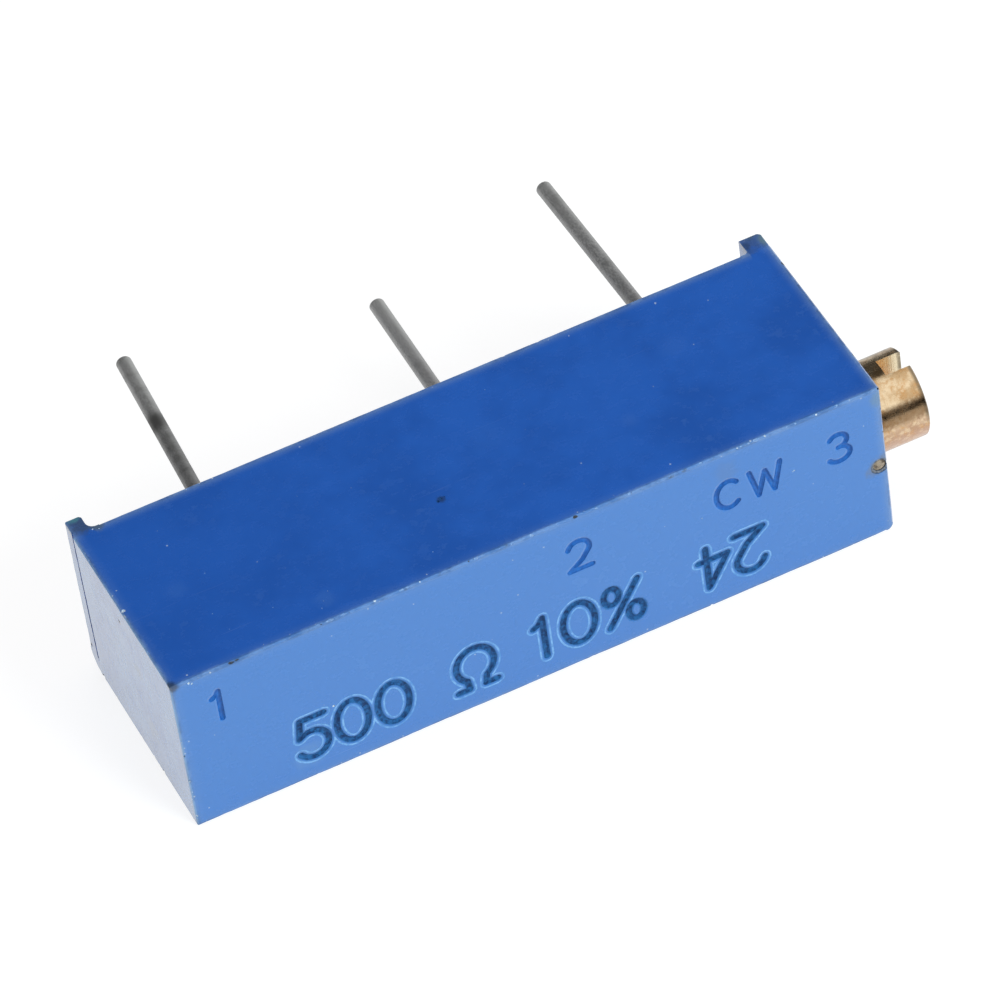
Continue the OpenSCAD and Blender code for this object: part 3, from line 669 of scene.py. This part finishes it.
def sweepStroke(mesh, path, halfWidth, depth, slot):  # a round-bottomed cutter along one stroke
    spec = markSpec
    sides = spec["sides"]
    already = len(mesh.faces)
    lift = min(spec["lift"], depth * 2)
    points = finerPath(path, spec["step"])
    closed = (points[0] - points[-1]).length < 1e-4
    if closed:
        points.pop()
    total = len(points)
    reach = depth + lift
    wide = halfWidth / math.sqrt(1 - (lift / reach) ** 2)
    if closed:  # a small loop keeps its middle open
        middle = sum(points, Vector((0, 0))) / total
        wide = min(wide, spec["loopShare"] * min((point - middle).length for point in points))
    stations = []
    for i, point in enumerate(points):
        before = points[i - 1] if (i or closed) else point
        after = points[(i + 1) % total] if (i < total - 1 or closed) else point
        stations.append((point, (after - before).normalized(), 1))
    if not closed:
        first, last = stations[0], stations[-1]
        for a in spec["capTurns"]:
            stations.insert(0, (first[0] - first[1] * wide * math.sin(a), first[1], math.cos(a)))
            stations.append((last[0] + last[1] * wide * math.sin(a), last[1], math.cos(a)))
    rings = []
    for point, along, scale in stations:
        side = Vector((-along.y, along.x))
        ring = []
        for k in range(sides):
            a = 2 * math.pi * k / sides
            flat = point + side * (math.cos(a) * wide * scale)
            y = faceY - lift + math.sin(a) * reach * scale
            ring.append(mesh.verts.new((flat.x * mm, y * mm, flat.y * mm)))
        rings.append(ring)
    for one, two in zip(rings, rings[1:]):
        joinRings(mesh, one, two)
    if closed:
        joinRings(mesh, rings[-1], rings[0])
    else:
        mesh.faces.new(rings[0])
        mesh.faces.new(rings[-1])
    takeSlot(mesh, already, slot)


def shellsOf(mesh):  # the closed bodies in a mesh, each as a list of faces
    mesh.faces.index_update()
    mesh.faces.ensure_lookup_table()
    seen, shells = set(), []
    for face in mesh.faces:
        if face.index in seen:
            continue
        shell, queue = [], [face]
        seen.add(face.index)
        while queue:
            here = queue.pop()
            shell.append(here)
            for edge in here.edges:
                for other in edge.link_faces:
                    if other.index not in seen:
                        seen.add(other.index)
                        queue.append(other)
        shells.append(shell)
    return shells


def cutAway(piece, name, build, materials):  # cuts every closed body that build makes from the piece
    mesh = bmesh.new()
    build(mesh)
    bmesh.ops.recalc_face_normals(mesh, faces=mesh.faces)
    cutters = bpy.data.collections.new(name)
    bpy.context.scene.collection.children.link(cutters)
    for shell in shellsOf(mesh):
        corners = {}
        for face in shell:
            for vert in face.verts:
                corners.setdefault(vert, len(corners))
        outlines = [[corners[vert] for vert in face.verts] for face in shell]
        data = bpy.data.meshes.new(name)
        data.from_pydata([vert.co.copy() for vert in corners], [], outlines)
        for material in materials:
            data.materials.append(material)
        data.polygons.foreach_set("material_index", [face.material_index for face in shell])
        cutters.objects.link(bpy.data.objects.new(name, data))
    mesh.free()
    modifier = piece.modifiers.new("cut", "BOOLEAN")
    modifier.operation = "DIFFERENCE"
    modifier.solver = "MANIFOLD"
    modifier.operand_type = "COLLECTION"
    modifier.collection = cutters
    modifier.material_mode = "TRANSFER"
    bpy.context.view_layer.update()
    cut = piece.evaluated_get(bpy.context.evaluated_depsgraph_get())
    result = bpy.data.meshes.new_from_object(cut)
    piece.modifiers.clear()
    piece.data = result
    for cutter in list(cutters.objects):
        bpy.data.objects.remove(cutter)
    bpy.data.collections.remove(cutters)


def dropCrumbs(data):  # keeps the largest body, drops bits that the cutters left loose
    mesh = bmesh.new()
    mesh.from_mesh(data)
    shells = sorted(shellsOf(mesh), key=len, reverse=True)
    for shell in shells[1:]:
        crumb = {vert for face in shell for vert in face.verts}
        bmesh.ops.delete(mesh, geom=list(crumb), context="VERTS")
    print("crumbs dropped:", len(shells) - 1)
    mesh.to_mesh(data)
    mesh.free()


def copyOfNode(node, name):  # the node's mesh with its seams closed
    data = nodes[node].data.copy()
    data.name = name
    piece = placed(name, data)
    mesh = bmesh.new()
    mesh.from_mesh(data)
    bmesh.ops.remove_doubles(mesh, verts=mesh.verts, dist=1e-7)
    mesh.to_mesh(data)
    mesh.free()
    for layer in list(data.attributes):
        if layer.name.startswith("custom_normal"):
            data.attributes.remove(layer)
    return piece


def smoothShaded(data):  # the broad sides stay flat, so the cuts in them don't bend their shine
    sharpFrom, squareFrom = math.radians(28), 0.99999
    data.shade_smooth()
    data.set_sharp_from_angle(angle=sharpFrom)
    for face in data.polygons:
        if max(abs(share) for share in face.normal) > squareFrom:
            face.use_smooth = False


nickSpec = {
    "seed": 17,
    "edgeNicks": 260,
    "smallest": 0.012,
    "largest": 0.06,
    "rarity": 2.2,  # the higher, the fewer large ones
    "along": (1.2, 3.2),  # how much longer a nick is along its edge
    "freshShare": 0.6,  # fresh ones are smaller
    "sidesTo": 9.3,  # how far from the middle the long edges are nicked
    "baseFrom": -8.8,
    "baseTo": 8.7,
    # lasting marks: place on the part in millimetres, and size
    "pale": (
        (-9.46, -0.3, 4.93, 0.06), (-9.5, -0.45, 4.9, 0.045), (-9.04, -3.22, 4.84, 0.05),
        (-8.97, -3.22, 4.78, 0.03), (-5.6, -3.22, 2.08, 0.055), (7.05, -3.22, 3.38, 0.035),
        (4.49, -3.22, 3.1, 0.02), (7.8, -3.21, 4.92, 0.04), (4.46, -3.21, 0.01, 0.07),
        (8.9, -3.21, 0.01, 0.06), (-9.5, -3.21, 0.36, 0.04), (-9.5, -3.21, 1.6, 0.03),
        (-9, 2.62, 4.93, 0.026), (-8.86, 2.55, 4.93, 0.018),
        (-4.1, -3.2, 4.93, 0.035), (-2.9, -3.2, 4.92, 0.03), (6.4, -3.2, 4.92, 0.03),
    ),
    "faint": (
        (-4.25, 0.98, 4.93, 0.02), (-7.64, -1.52, 4.93, 0.022), (-7.25, -0.19, 4.93, 0.018),
        (-5.3, -2.75, 4.93, 0.024), (-5.16, -2.55, 4.93, 0.018), (-4.94, -2.3, 4.93, 0.022),
        (-2.2, -2.46, 4.93, 0.02), (1.25, 1.85, 4.93, 0.018), (-7.5, -2.2, 4.93, 0.014),
        (-6.3, -2.1, 4.93, 0.014),
    ),
    "dark": (
        (-9.52, 0.02, 4.32, 0.05),
        (-9.5, 2.5, 0.08, 0.12), (-9.5, -1.2, 0.03, 0.12), (-9.5, 1.7, 0.03, 0.08),
        (-9.5, 0.17, 0.03, 0.07), (-9.5, -0.6, 0.03, 0.08), (-9.5, -0.9, 0.02, 0.06),
        (-9.5, 3.1, 0.66, 0.06),
        (-9.51, -3.21, 1.62, 0.035), (-9.51, -3.21, 2.5, 0.03), (9.5, -3.2, 4.9, 0.06),
        (9.51, -3.21, 4.2, 0.04), (9.5, -3.2, 3.4, 0.035), (-1.3, -3.21, 0, 0.05),
        (-1.6, -3.21, 4.93, 0.04), (1.8, -3.21, 4.93, 0.035),
    ),
    "pits": ((-1.38, -1, 4.93, 0.045), (-1.28, -0.95, 4.93, 0.04), (-1.18, -0.93, 4.93, 0.025)),
}


def lump(mesh, centre, scale, dice):  # small uneven stone that takes a chip off an edge
    made = bmesh.ops.create_icosphere(mesh, subdivisions=1, radius=1)
    axis = Vector((dice.random(), dice.random(), dice.random() + 0.1)).normalized()
    turn = Matrix.Rotation(dice.uniform(-0.5, 0.5), 3, axis)
    for vert in made["verts"]:
        offset = Vector([vert.co[i] * scale[i] * dice.uniform(0.75, 1.15) for i in range(3)])
        vert.co = (Vector(centre) + turn @ offset) * mm


def edgePoint(dice):  # anywhere along the edges that get rubbed, and the edge's axis
    spec = nickSpec
    ends, reach = (-endX, endX), spec["sidesTo"]
    upright = (faceY + 0.3, baseY - 0.3)
    kind = dice.random()
    if kind < 0.45:
        return (dice.uniform(-reach, reach), faceY, topZ), 0
    if kind < 0.6:
        return (dice.uniform(-reach, reach), faceY, 0), 0
    if kind < 0.68:
        return (dice.uniform(spec["baseFrom"], spec["baseTo"]), baseY, topZ), 0
    if kind < 0.73:
        return (-endX, dice.uniform(*upright), 0), 1
    if kind < 0.85:
        return (dice.choice(ends), dice.uniform(*upright), topZ), 1
    return (dice.choice(ends), faceY, dice.uniform(0.2, topZ - 0.2)), 2


def nickCutters(mesh):  # slots: 0 pale, 1 dirty, 2 faint, 3 pit in the upper side
    spec = nickSpec
    dice = random.Random(spec["seed"])
    wanted = []
    for slot, kind in enumerate(("pale", "dark", "faint", "pits")):
        wanted += [(mark[:3], mark[3], None, slot) for mark in spec[kind]]
    for _ in range(spec["edgeNicks"]):
        centre, axis = edgePoint(dice)
        size = spec["smallest"] + (spec["largest"] - spec["smallest"]) * dice.random() ** spec["rarity"]
        slot = dice.choice((0, 0, 2, 2, 2, 2, 2, 1))
        wanted.append((centre, size * (spec["freshShare"] if slot == 0 else 1), axis, slot))
    for centre, size, axis, slot in wanted:
        scale = [size * dice.uniform(0.7, 1.2) for _ in range(3)]
        if axis is not None:
            scale[axis] *= dice.uniform(*spec["along"])
        already = len(mesh.faces)
        lump(mesh, centre, scale, dice)
        takeSlot(mesh, already, slot)


wearSpec = {
    "seed": 5,
    "step": 0.22,  # between two sections along an edge
    "least": 0.026,  # how far the worn edge reaches into each side
    "most": 0.055,
    "tip": 0.12,  # the same at the corners of the feet's tips
    "overlap": 0.12,  # of the cutter outside the housing
    "past": 0.1,  # how far it runs on beyond both ends
    "baseWear": 0.02,
    "baseEnds": (-8.7, 8.6),
    "groove": 0.065,
    "footThick": 0.42,
    "footStart": 0.6,  # the rounded end of foot 1 reaches up to here
}


# an uneven three-sided cutter along an edge
def wornEdge(mesh, dice, start, end, inOne, inTwo, deepest=None, slot=0):
    spec = wearSpec
    already = len(mesh.faces)
    start, end, inOne, inTwo = Vector(start), Vector(end), Vector(inOne), Vector(inTwo)
    along = (end - start).normalized()
    start, end = start - along * spec["past"], end + along * spec["past"]
    count = max(3, round((end - start).length / spec["step"]))
    phases = [(dice.uniform(0.5, 2.4), dice.uniform(0, 6.28)) for _ in range(4)]
    rings = []
    for i in range(count + 1):
        here = start.lerp(end, i / count)
        run = i * spec["step"]
        wave = sum(math.sin(run * rate + phase) for rate, phase in phases) / 8 + 0.5
        reach = spec["least"] + (spec["most"] - spec["least"]) * wave * dice.uniform(0.8, 1.2)
        if deepest is not None:
            reach = deepest * dice.uniform(0.85, 1.1)
        one, two = inOne * reach * dice.uniform(0.93, 1.07), inTwo * reach * dice.uniform(0.93, 1.07)
        outside = here - (inOne + inTwo) * spec["overlap"]
        corners = (here + one * 1.6 - two * 0.6, here + two * 1.6 - one * 0.6, outside)
        rings.append([mesh.verts.new(corner * mm) for corner in corners])
    for ring, nextRing in zip(rings, rings[1:]):
        for k in range(3):
            m = (k + 1) % 3
            mesh.faces.new((ring[k], ring[m], nextRing[m]))
            mesh.faces.new((ring[k], nextRing[m], nextRing[k]))
    mesh.faces.new(rings[0])
    mesh.faces.new(rings[-1])
    takeSlot(mesh, already, slot)


def wearCutters(mesh):
    spec = wearSpec
    dice = random.Random(spec["seed"])
    left, right, footLeft, footRight = -endX, endX, -endX + 0.02, endX - 0.02
    footInside, grooveX = footLeft + spec["footThick"], left - 0.012
    under, tip = spec["footStart"], spec["tip"]
    baseLeft, baseRight = spec["baseEnds"]
    ahead, back, up, down = (0, 1, 0), (0, -1, 0), (0, 0, 1), (0, 0, -1)
    inward, outward = (1, 0, 0), (-1, 0, 0)
    # start, end, the two directions into the sides, and how deep where it isn't left to the dice
    edges = (
        ((left, faceY, topZ), (right, faceY, topZ), ahead, down),
        ((baseLeft, baseY, topZ), (baseRight, baseY, topZ), back, down, spec["baseWear"]),
        ((left, faceY, 0), (right - 0.3, faceY, 0), ahead, up),
        ((left, faceY, topZ), (left, baseY - 0.1, topZ), inward, down),
        ((right, faceY, topZ), (right, baseY - 0.1, topZ), outward, down),
        ((left, faceY, 0), (left, baseY - 0.1, 0), inward, up),
        ((left, faceY, 0), (left, faceY, topZ), inward, ahead),
        ((right, faceY, 0.3), (right, faceY, topZ), outward, ahead),
        ((footRight, tipY, 0), (footRight, tipY, topZ), outward, back, tip),
        ((footLeft, tipY, under), (footLeft, tipY, topZ), inward, back, tip * 0.5),
        ((footInside, tipY, under), (footInside, tipY, topZ), outward, back, tip * 0.8),
    )
    for edge in edges:
        wornEdge(mesh, dice, *edge)
    # fine groove where foot 1 meets the plain end, painted darker inside as shade
    slantOne, slantTwo = (0.8, 0.6, 0), (0.8, -0.6, 0)
    start, end = (grooveX, baseY, under), (grooveX, baseY, topZ)
    wornEdge(mesh, dice, start, end, slantOne, slantTwo, spec["groove"], 3)


def makeHousing():
    housing = copyOfNode("housing", "housing_marked")
    plastic = bluePlastic()
    housing.data.materials.clear()
    housing.data.materials.append(plastic)
    scorched, lip = engravedInk(), plainFinish("swollenLip")
    row, value = markSpec["terminalRow"], markSpec["valueRow"]
    terminal = laidOut(markSpec["terminalSigns"], row["height"])
    values = laidOut(markSpec["valueSigns"], value["height"])

    def markCutters(mesh):  # slots: 0 plastic, 1 pale rim, 2 scorched, 3 moulded with painted shade, 4 singed
        for path in values:
            for halfWidth, depth, slot in value["steps"]:
                sweepStroke(mesh, path, halfWidth, depth, slot)
        right, lower = row["shift"]
        for path in terminal:
            sweepStroke(mesh, path, row["shoulder"], row["shoulderDepth"], 0)
            shifted = [(across + right, up + lower) for across, up in path]
            sweepStroke(mesh, shifted, row["stroke"], row["depth"], 3)

    markFinishes = (plastic, lip, scorched, plainFinish("shadedRecess"), plainFinish("singedRim"))
    nickFinishes = (plainFinish("freshChip"), plainFinish("packedDirt"), plainFinish("faintNick"), scorched)
    cutAway(housing, "wear", wearCutters, markFinishes)
    cutAway(housing, "marks", markCutters, markFinishes)
    cutAway(housing, "nicks", nickCutters, nickFinishes)
    dropCrumbs(housing.data)
    smoothShaded(housing.data)
    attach(housing, "body")
    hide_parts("housing")
    print("housing cut:", len(housing.data.polygons), "faces")


makeHousing()

gritSpec = {
    "centre": (9.32, 2.315),  # across and up on the marked side
    "inner": 0.17,
    "outer": 0.27,
    "depth": 0.035,  # below the marked side
    "height": 0.02,
    "steps": 36,  # round the ring
    "sides": 8,  # of its section
    "seed": 3,
}


def makeGritRing():  # grit in the gap round the retaining pin, a closed uneven ring
    spec = gritSpec
    dice = random.Random(spec["seed"])
    across, up = spec["centre"]
    mesh = bmesh.new()
    rings = []
    middle, half = (spec["inner"] + spec["outer"]) / 2, (spec["outer"] - spec["inner"]) / 2
    for i in range(spec["steps"]):
        a = 2 * math.pi * i / spec["steps"]
        height = spec["height"] * dice.uniform(0.5, 1.2)
        ring = []
        for k in range(spec["sides"]):
            b = 2 * math.pi * k / spec["sides"]
            reach = middle + half * math.cos(b)
            y = faceY + spec["depth"] - height * math.sin(b)
            x = min(across + reach * math.cos(a), endX - 0.02)  # the mouth is open at the screw's end
            ring.append(mesh.verts.new((x * mm, y * mm, (up + reach * math.sin(a)) * mm)))
        rings.append(ring)
    for one, two in zip(rings, rings[1:] + rings[:1]):
        joinRings(mesh, one, two)
    bmesh.ops.recalc_face_normals(mesh, faces=mesh.faces)
    data = bpy.data.meshes.new("retaining_pin_grit")
    mesh.to_mesh(data)
    mesh.free()
    data.shade_smooth()
    data.materials.append(plainFinish("hardenedGrit"))
    grit = placed("retaining_pin_grit", data)
    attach(grit, "body")
    print("grit laid round the retaining pin")


makeGritRing()

screwDepth = 1.8  # of the screw's axis behind the marked side
screwAxisY = faceY + screwDepth
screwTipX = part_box("adjustment_screw")[1].x * 1000

brassSpec = {
    "colour": rgb(0.66, 0.44, 0.23),
    "pale": rgb(1, 0.8, 0.53),
    "orange": rgb(0.72, 0.4, 0.16),
    "tarnishAndDarkReflection": rgb(0.27, 0.155, 0.075),
    "pinkShade": rgb(0.55, 0.33, 0.22),
    "blushLowLight": rgb(0.72, 0.48, 0.37),
    "rim": rgb(0.16, 0.125, 0.085),
    "slotWallSheen": rgb(1, 0.86, 0.6),
    "roughness": 0.15,
    "cloud": (1.6, 4, 0.6),
    "patch": (4.5, 5, 0.7, 0.6),
    "mottle": (5.5, 4, 0.65),
    "grain": (30, 3, 0.6),
    "ringStretch": (26, 0.6, 0.6),  # turning marks
    "halfSlot": 0.28,
    "slotDepth": 0.66,
    "darkReflectionLine": (0, screwAxisY - 1.05, 2.93),
    "lowLightFrom": (2.5, 2),  # height where the painted paler light under the line starts and is full
}


def turnedBrass():  # turned screw brass, a little tarnished
    spec = brassSpec
    material, shader, place = newFinish("turnedBrass")
    cloud = noiseOf(place, *spec["cloud"])
    patch = noiseOf(place, *spec["patch"])
    mottle = noiseOf(place, *spec["mottle"])
    grain = noiseOf(place, *spec["grain"])
    rings = noiseOf(stretched(place, spec["ringStretch"]), 1, 4, 0.7)
    colour = blend(spread(cloud, 0.35, 0.65), spec["colour"], spec["pale"])
    parts = axesOf(place)
    # painted shade: pinker and darker below the screw's lit top
    paintedShadeBelow = spread(plus(parts["Z"], times(patch, 0.9)), 3.6, 2.7)
    colour = blend(times(paintedShadeBelow, 0.8), colour, spec["pinkShade"])
    colour = blend(spread(patch, 0.5, 0.62, 0, 0.7), colour, spec["orange"])
    colour = blend(spread(mottle, 0.47, 0.64, 0, 0.6), colour, spec["pale"])
    colour = blend(spread(patch, 0.42, 0.28, 0, 0.5), colour, spec["tarnishAndDarkReflection"])
    colour = blend(spread(rings, 0.5, 0.75, 0, 0.2), colour, spec["tarnishAndDarkReflection"])
    # the slot's wall is painted paler, a painted reflection; the rim and the blade-worn top beside it
    # darker, the top partly a painted dark reflection
    wallSheen = spread(gapTo(parts["Y"], screwAxisY + spec["halfSlot"]), 0.06, 0.03)
    slotFloor = screwTipX - spec["slotDepth"]
    wallSheen = times(wallSheen, spread(parts["X"], slotFloor - 0.04, slotFloor))
    colour = blend(times(wallSheen, 0.95), colour, spec["slotWallSheen"])
    # a painted dark reflection along the side, and under it a paler colour, painted light
    side = distanceTo(stretched(place, (0, 1, 1)), spec["darkReflectionLine"])
    side = plus(side, swing(mottle, 0.2))
    colour = blend(spread(side, 0.36, 0.16, 0, 0.8), colour, spec["tarnishAndDarkReflection"])
    under = times(spread(parts["Z"], *spec["lowLightFrom"]), 0.55)
    colour = blend(under, colour, spec["blushLowLight"])
    rim = spread(parts["X"], screwTipX - 0.14, screwTipX - 0.05)
    rim = times(rim, spread(parts["Z"], 2.2, 2.8))
    backTop = spread(parts["Y"], screwAxisY + 0.34, screwAxisY + 0.5)
    backTop = times(backTop, spread(parts["Z"], 2.9, 3.3))
    dark = times(mathNode("MAXIMUM", rim, backTop), spread(mottle, 0.3, 0.6, 0.55, 1))
    colour = blend(times(dark, 0.8), colour, spec["rim"])
    rough = plus(spread(patch, 0.3, 0.7, 0, 0.16), spec["roughness"])
    normal = bumpOf(rings, 0.006, 0.7)
    normal = bumpOf(grain, 0.002, 0.6, normal)
    feed(shader, colour, rough, normal, metal=1)
    return material


wireSpec = {
    "colour": rgb(0.33, 0.33, 0.33),
    "pale": rgb(0.48, 0.48, 0.475),
    "oxide": rgb(0.1, 0.098, 0.095),
    "roughness": 0.42,
    "metal": 0.75,
    "rubbedBand": ((-5.86, 6.28, 3.64), 0.5),  # dark ring half way up pin 1
    "paleFrom": (6, 8.6, 0, 0.5),  # towards the tips
    "firstPinAt": (-4.5, -5),
    "firstPinDull": (7.5, 5.5, 0, 0.35),
    "secondPinAt": 0.9,
}


def tinnedWire():  # dull tinned wire with drawing lines, paler towards the tips
    spec = wireSpec
    material, shader, place = newFinish("tinnedWire")
    lines = noiseOf(stretched(place, (28, 1.1, 28)), 1, 4, 0.7)
    bands = noiseOf(stretched(place, (0.6, 1.3, 0.6)), 1, 3, 0.6)
    grain = noiseOf(place, 18, 4, 0.65)
    parts = axesOf(place)
    across, along = parts["X"], parts["Y"]
    colour = blend(spread(grain, 0.35, 0.7), spec["colour"], spec["pale"])
    colour = blend(spread(along, *spec["paleFrom"]), colour, spec["pale"])
    colour = blend(spread(bands, 0.5, 0.68, 0, 0.35), colour, spec["oxide"])
    colour = blend(spread(lines, 0.55, 0.75, 0, 0.25), colour, spec["oxide"])
    centre, reach = spec["rubbedBand"]
    ring = spread(distanceTo(place, centre), reach, reach * 0.35, 0, 0.9)
    colour = blend(ring, colour, spec["oxide"])
    firstPin = spread(across, *spec["firstPinAt"])
    firstPin = times(firstPin, spread(along, *spec["firstPinDull"]))
    colour = blend(firstPin, colour, spec["oxide"])
    secondPin = times(spread(gapTo(across, spec["secondPinAt"]), 2, 1.5), 0.5)
    colour = blend(secondPin, colour, spec["pale"])
    rough = plus(spread(grain, 0.3, 0.75, 0, 0.22), spec["roughness"])
    normal = bumpOf(lines, 0.006, 0.8)
    normal = bumpOf(grain, 0.004, 0.7, normal)
    feed(shader, colour, rough, normal, metal=spec["metal"])
    return material


def pinBrass():  # cut end of the retaining pin, darkened
    material, shader, place = newFinish("pinBrass")
    grain = noiseOf(place, 14, 5, 0.7)
    saw = noiseOf(stretched(place, (40, 6, 4), turn=(0, 0.6, 0)), 1, 3, 0.6)
    colour = blend(spread(grain, 0.4, 0.6), rgb(0.5, 0.43, 0.33), rgb(0.16, 0.13, 0.1))
    rough = plus(spread(grain, 0.3, 0.7, 0, 0.25), 0.3)
    feed(shader, colour, rough, bumpOf(saw, 0.008, 0.8), metal=1)
    return material


def baseEpoxy():  # poured seal: flowed, slightly wavy, with fine bubbles
    material, shader, place = newFinish("baseEpoxy")
    flow = noiseOf(place, 0.7, 3, 0.5)
    grain = noiseOf(place, 9, 4, 0.6)
    bubble = spread(cellsOf(place, 2.2), 0.07, 0.03)
    colour = blend(spread(flow, 0.35, 0.65), rgb(0.03, 0.11, 0.33), rgb(0.045, 0.15, 0.38))
    colour = blend(spread(grain, 0.6, 0.8, 0, 0.25), colour, rgb(0.2, 0.32, 0.5))
    colour = blend(times(bubble, 0.6), colour, rgb(0.01, 0.04, 0.14))
    normal = bumpOf(flow, 0.05, 0.5)
    normal = bumpOf(grain, 0.004, 0.6, normal)
    normal = bumpOf(bubble, -0.03, 0.8, normal)
    feed(shader, colour, spread(grain, 0.3, 0.75, 0.2, 0.38), normal)
    return material


def springAlloy():  # stamped spring sheet, rolled lengthways
    material, shader, place = newFinish("springAlloy")
    rolled = noiseOf(stretched(place, (1.2, 24, 24)), 1, 4, 0.7)
    cloud = noiseOf(place, 2, 3, 0.6)
    colour = blend(spread(cloud, 0.35, 0.65), rgb(0.78, 0.69, 0.5), rgb(0.7, 0.6, 0.42))
    colour = blend(spread(rolled, 0.55, 0.8, 0, 0.3), colour, rgb(0.45, 0.36, 0.24))
    rough, relief = spread(rolled, 0.3, 0.7, 0.2, 0.36), bumpOf(rolled, 0.002, 0.6)
    feed(shader, colour, rough, relief, metal=1)
    return material


def firedAlumina():
    material, shader, place = newFinish("firedAlumina")
    grain = noiseOf(place, 18, 5, 0.7)
    speck = spread(cellsOf(place, 5), 0.06, 0.02)
    colour = blend(spread(grain, 0.3, 0.7), rgb(0.74, 0.73, 0.69), rgb(0.8, 0.79, 0.76))
    colour = blend(times(speck, 0.5), colour, rgb(0.4, 0.36, 0.3))
    rough, relief = spread(grain, 0.3, 0.7, 0.42, 0.6), bumpOf(grain, 0.003, 0.6)
    feed(shader, colour, rough, relief)
    return material


def softSolder():  # slow-cooled solder, faintly crystalline
    material, shader, place = newFinish("softSolder")
    crystal = cellsOf(place, 9)
    grain = noiseOf(place, 12, 4, 0.6)
    colour = blend(spread(crystal, 0.1, 0.6), rgb(0.6, 0.61, 0.62), rgb(0.46, 0.47, 0.48))
    rough, relief = spread(grain, 0.3, 0.7, 0.24, 0.44), bumpOf(crystal, 0.006, 0.7)
    feed(shader, colour, rough, relief, metal=1)
    return material


def dressNodes():
    wire, silver, solder = tinnedWire(), plainFinish("silverInk"), softSolder()
    finishes = {
        "housing": bpy.data.materials["bluePlastic"],
        "base_seal": baseEpoxy(),
        "adjustment_screw": turnedBrass(),
        "shaft_seal_ring": plainFinish("sealRubber"),
        "retaining_pin": pinBrass(),
        "carriage": plainFinish("carriageNylon"),
        "wiper_contact": springAlloy(),
        "element_substrate": firedAlumina(),
        "resistive_track": plainFinish("cermetInk"),
        "collector_track": silver,
        "termination_pad_1": silver,
        "termination_pad_3": silver,
    }
    for number in (1, 2, 3):
        finishes[f"terminal_pin_{number}"] = wire
        finishes[f"solder_joint_{number}"] = solder
    for node, material in finishes.items():
        dress(node, material)
    print("finishes on", len(finishes), "solids")


dressNodes()
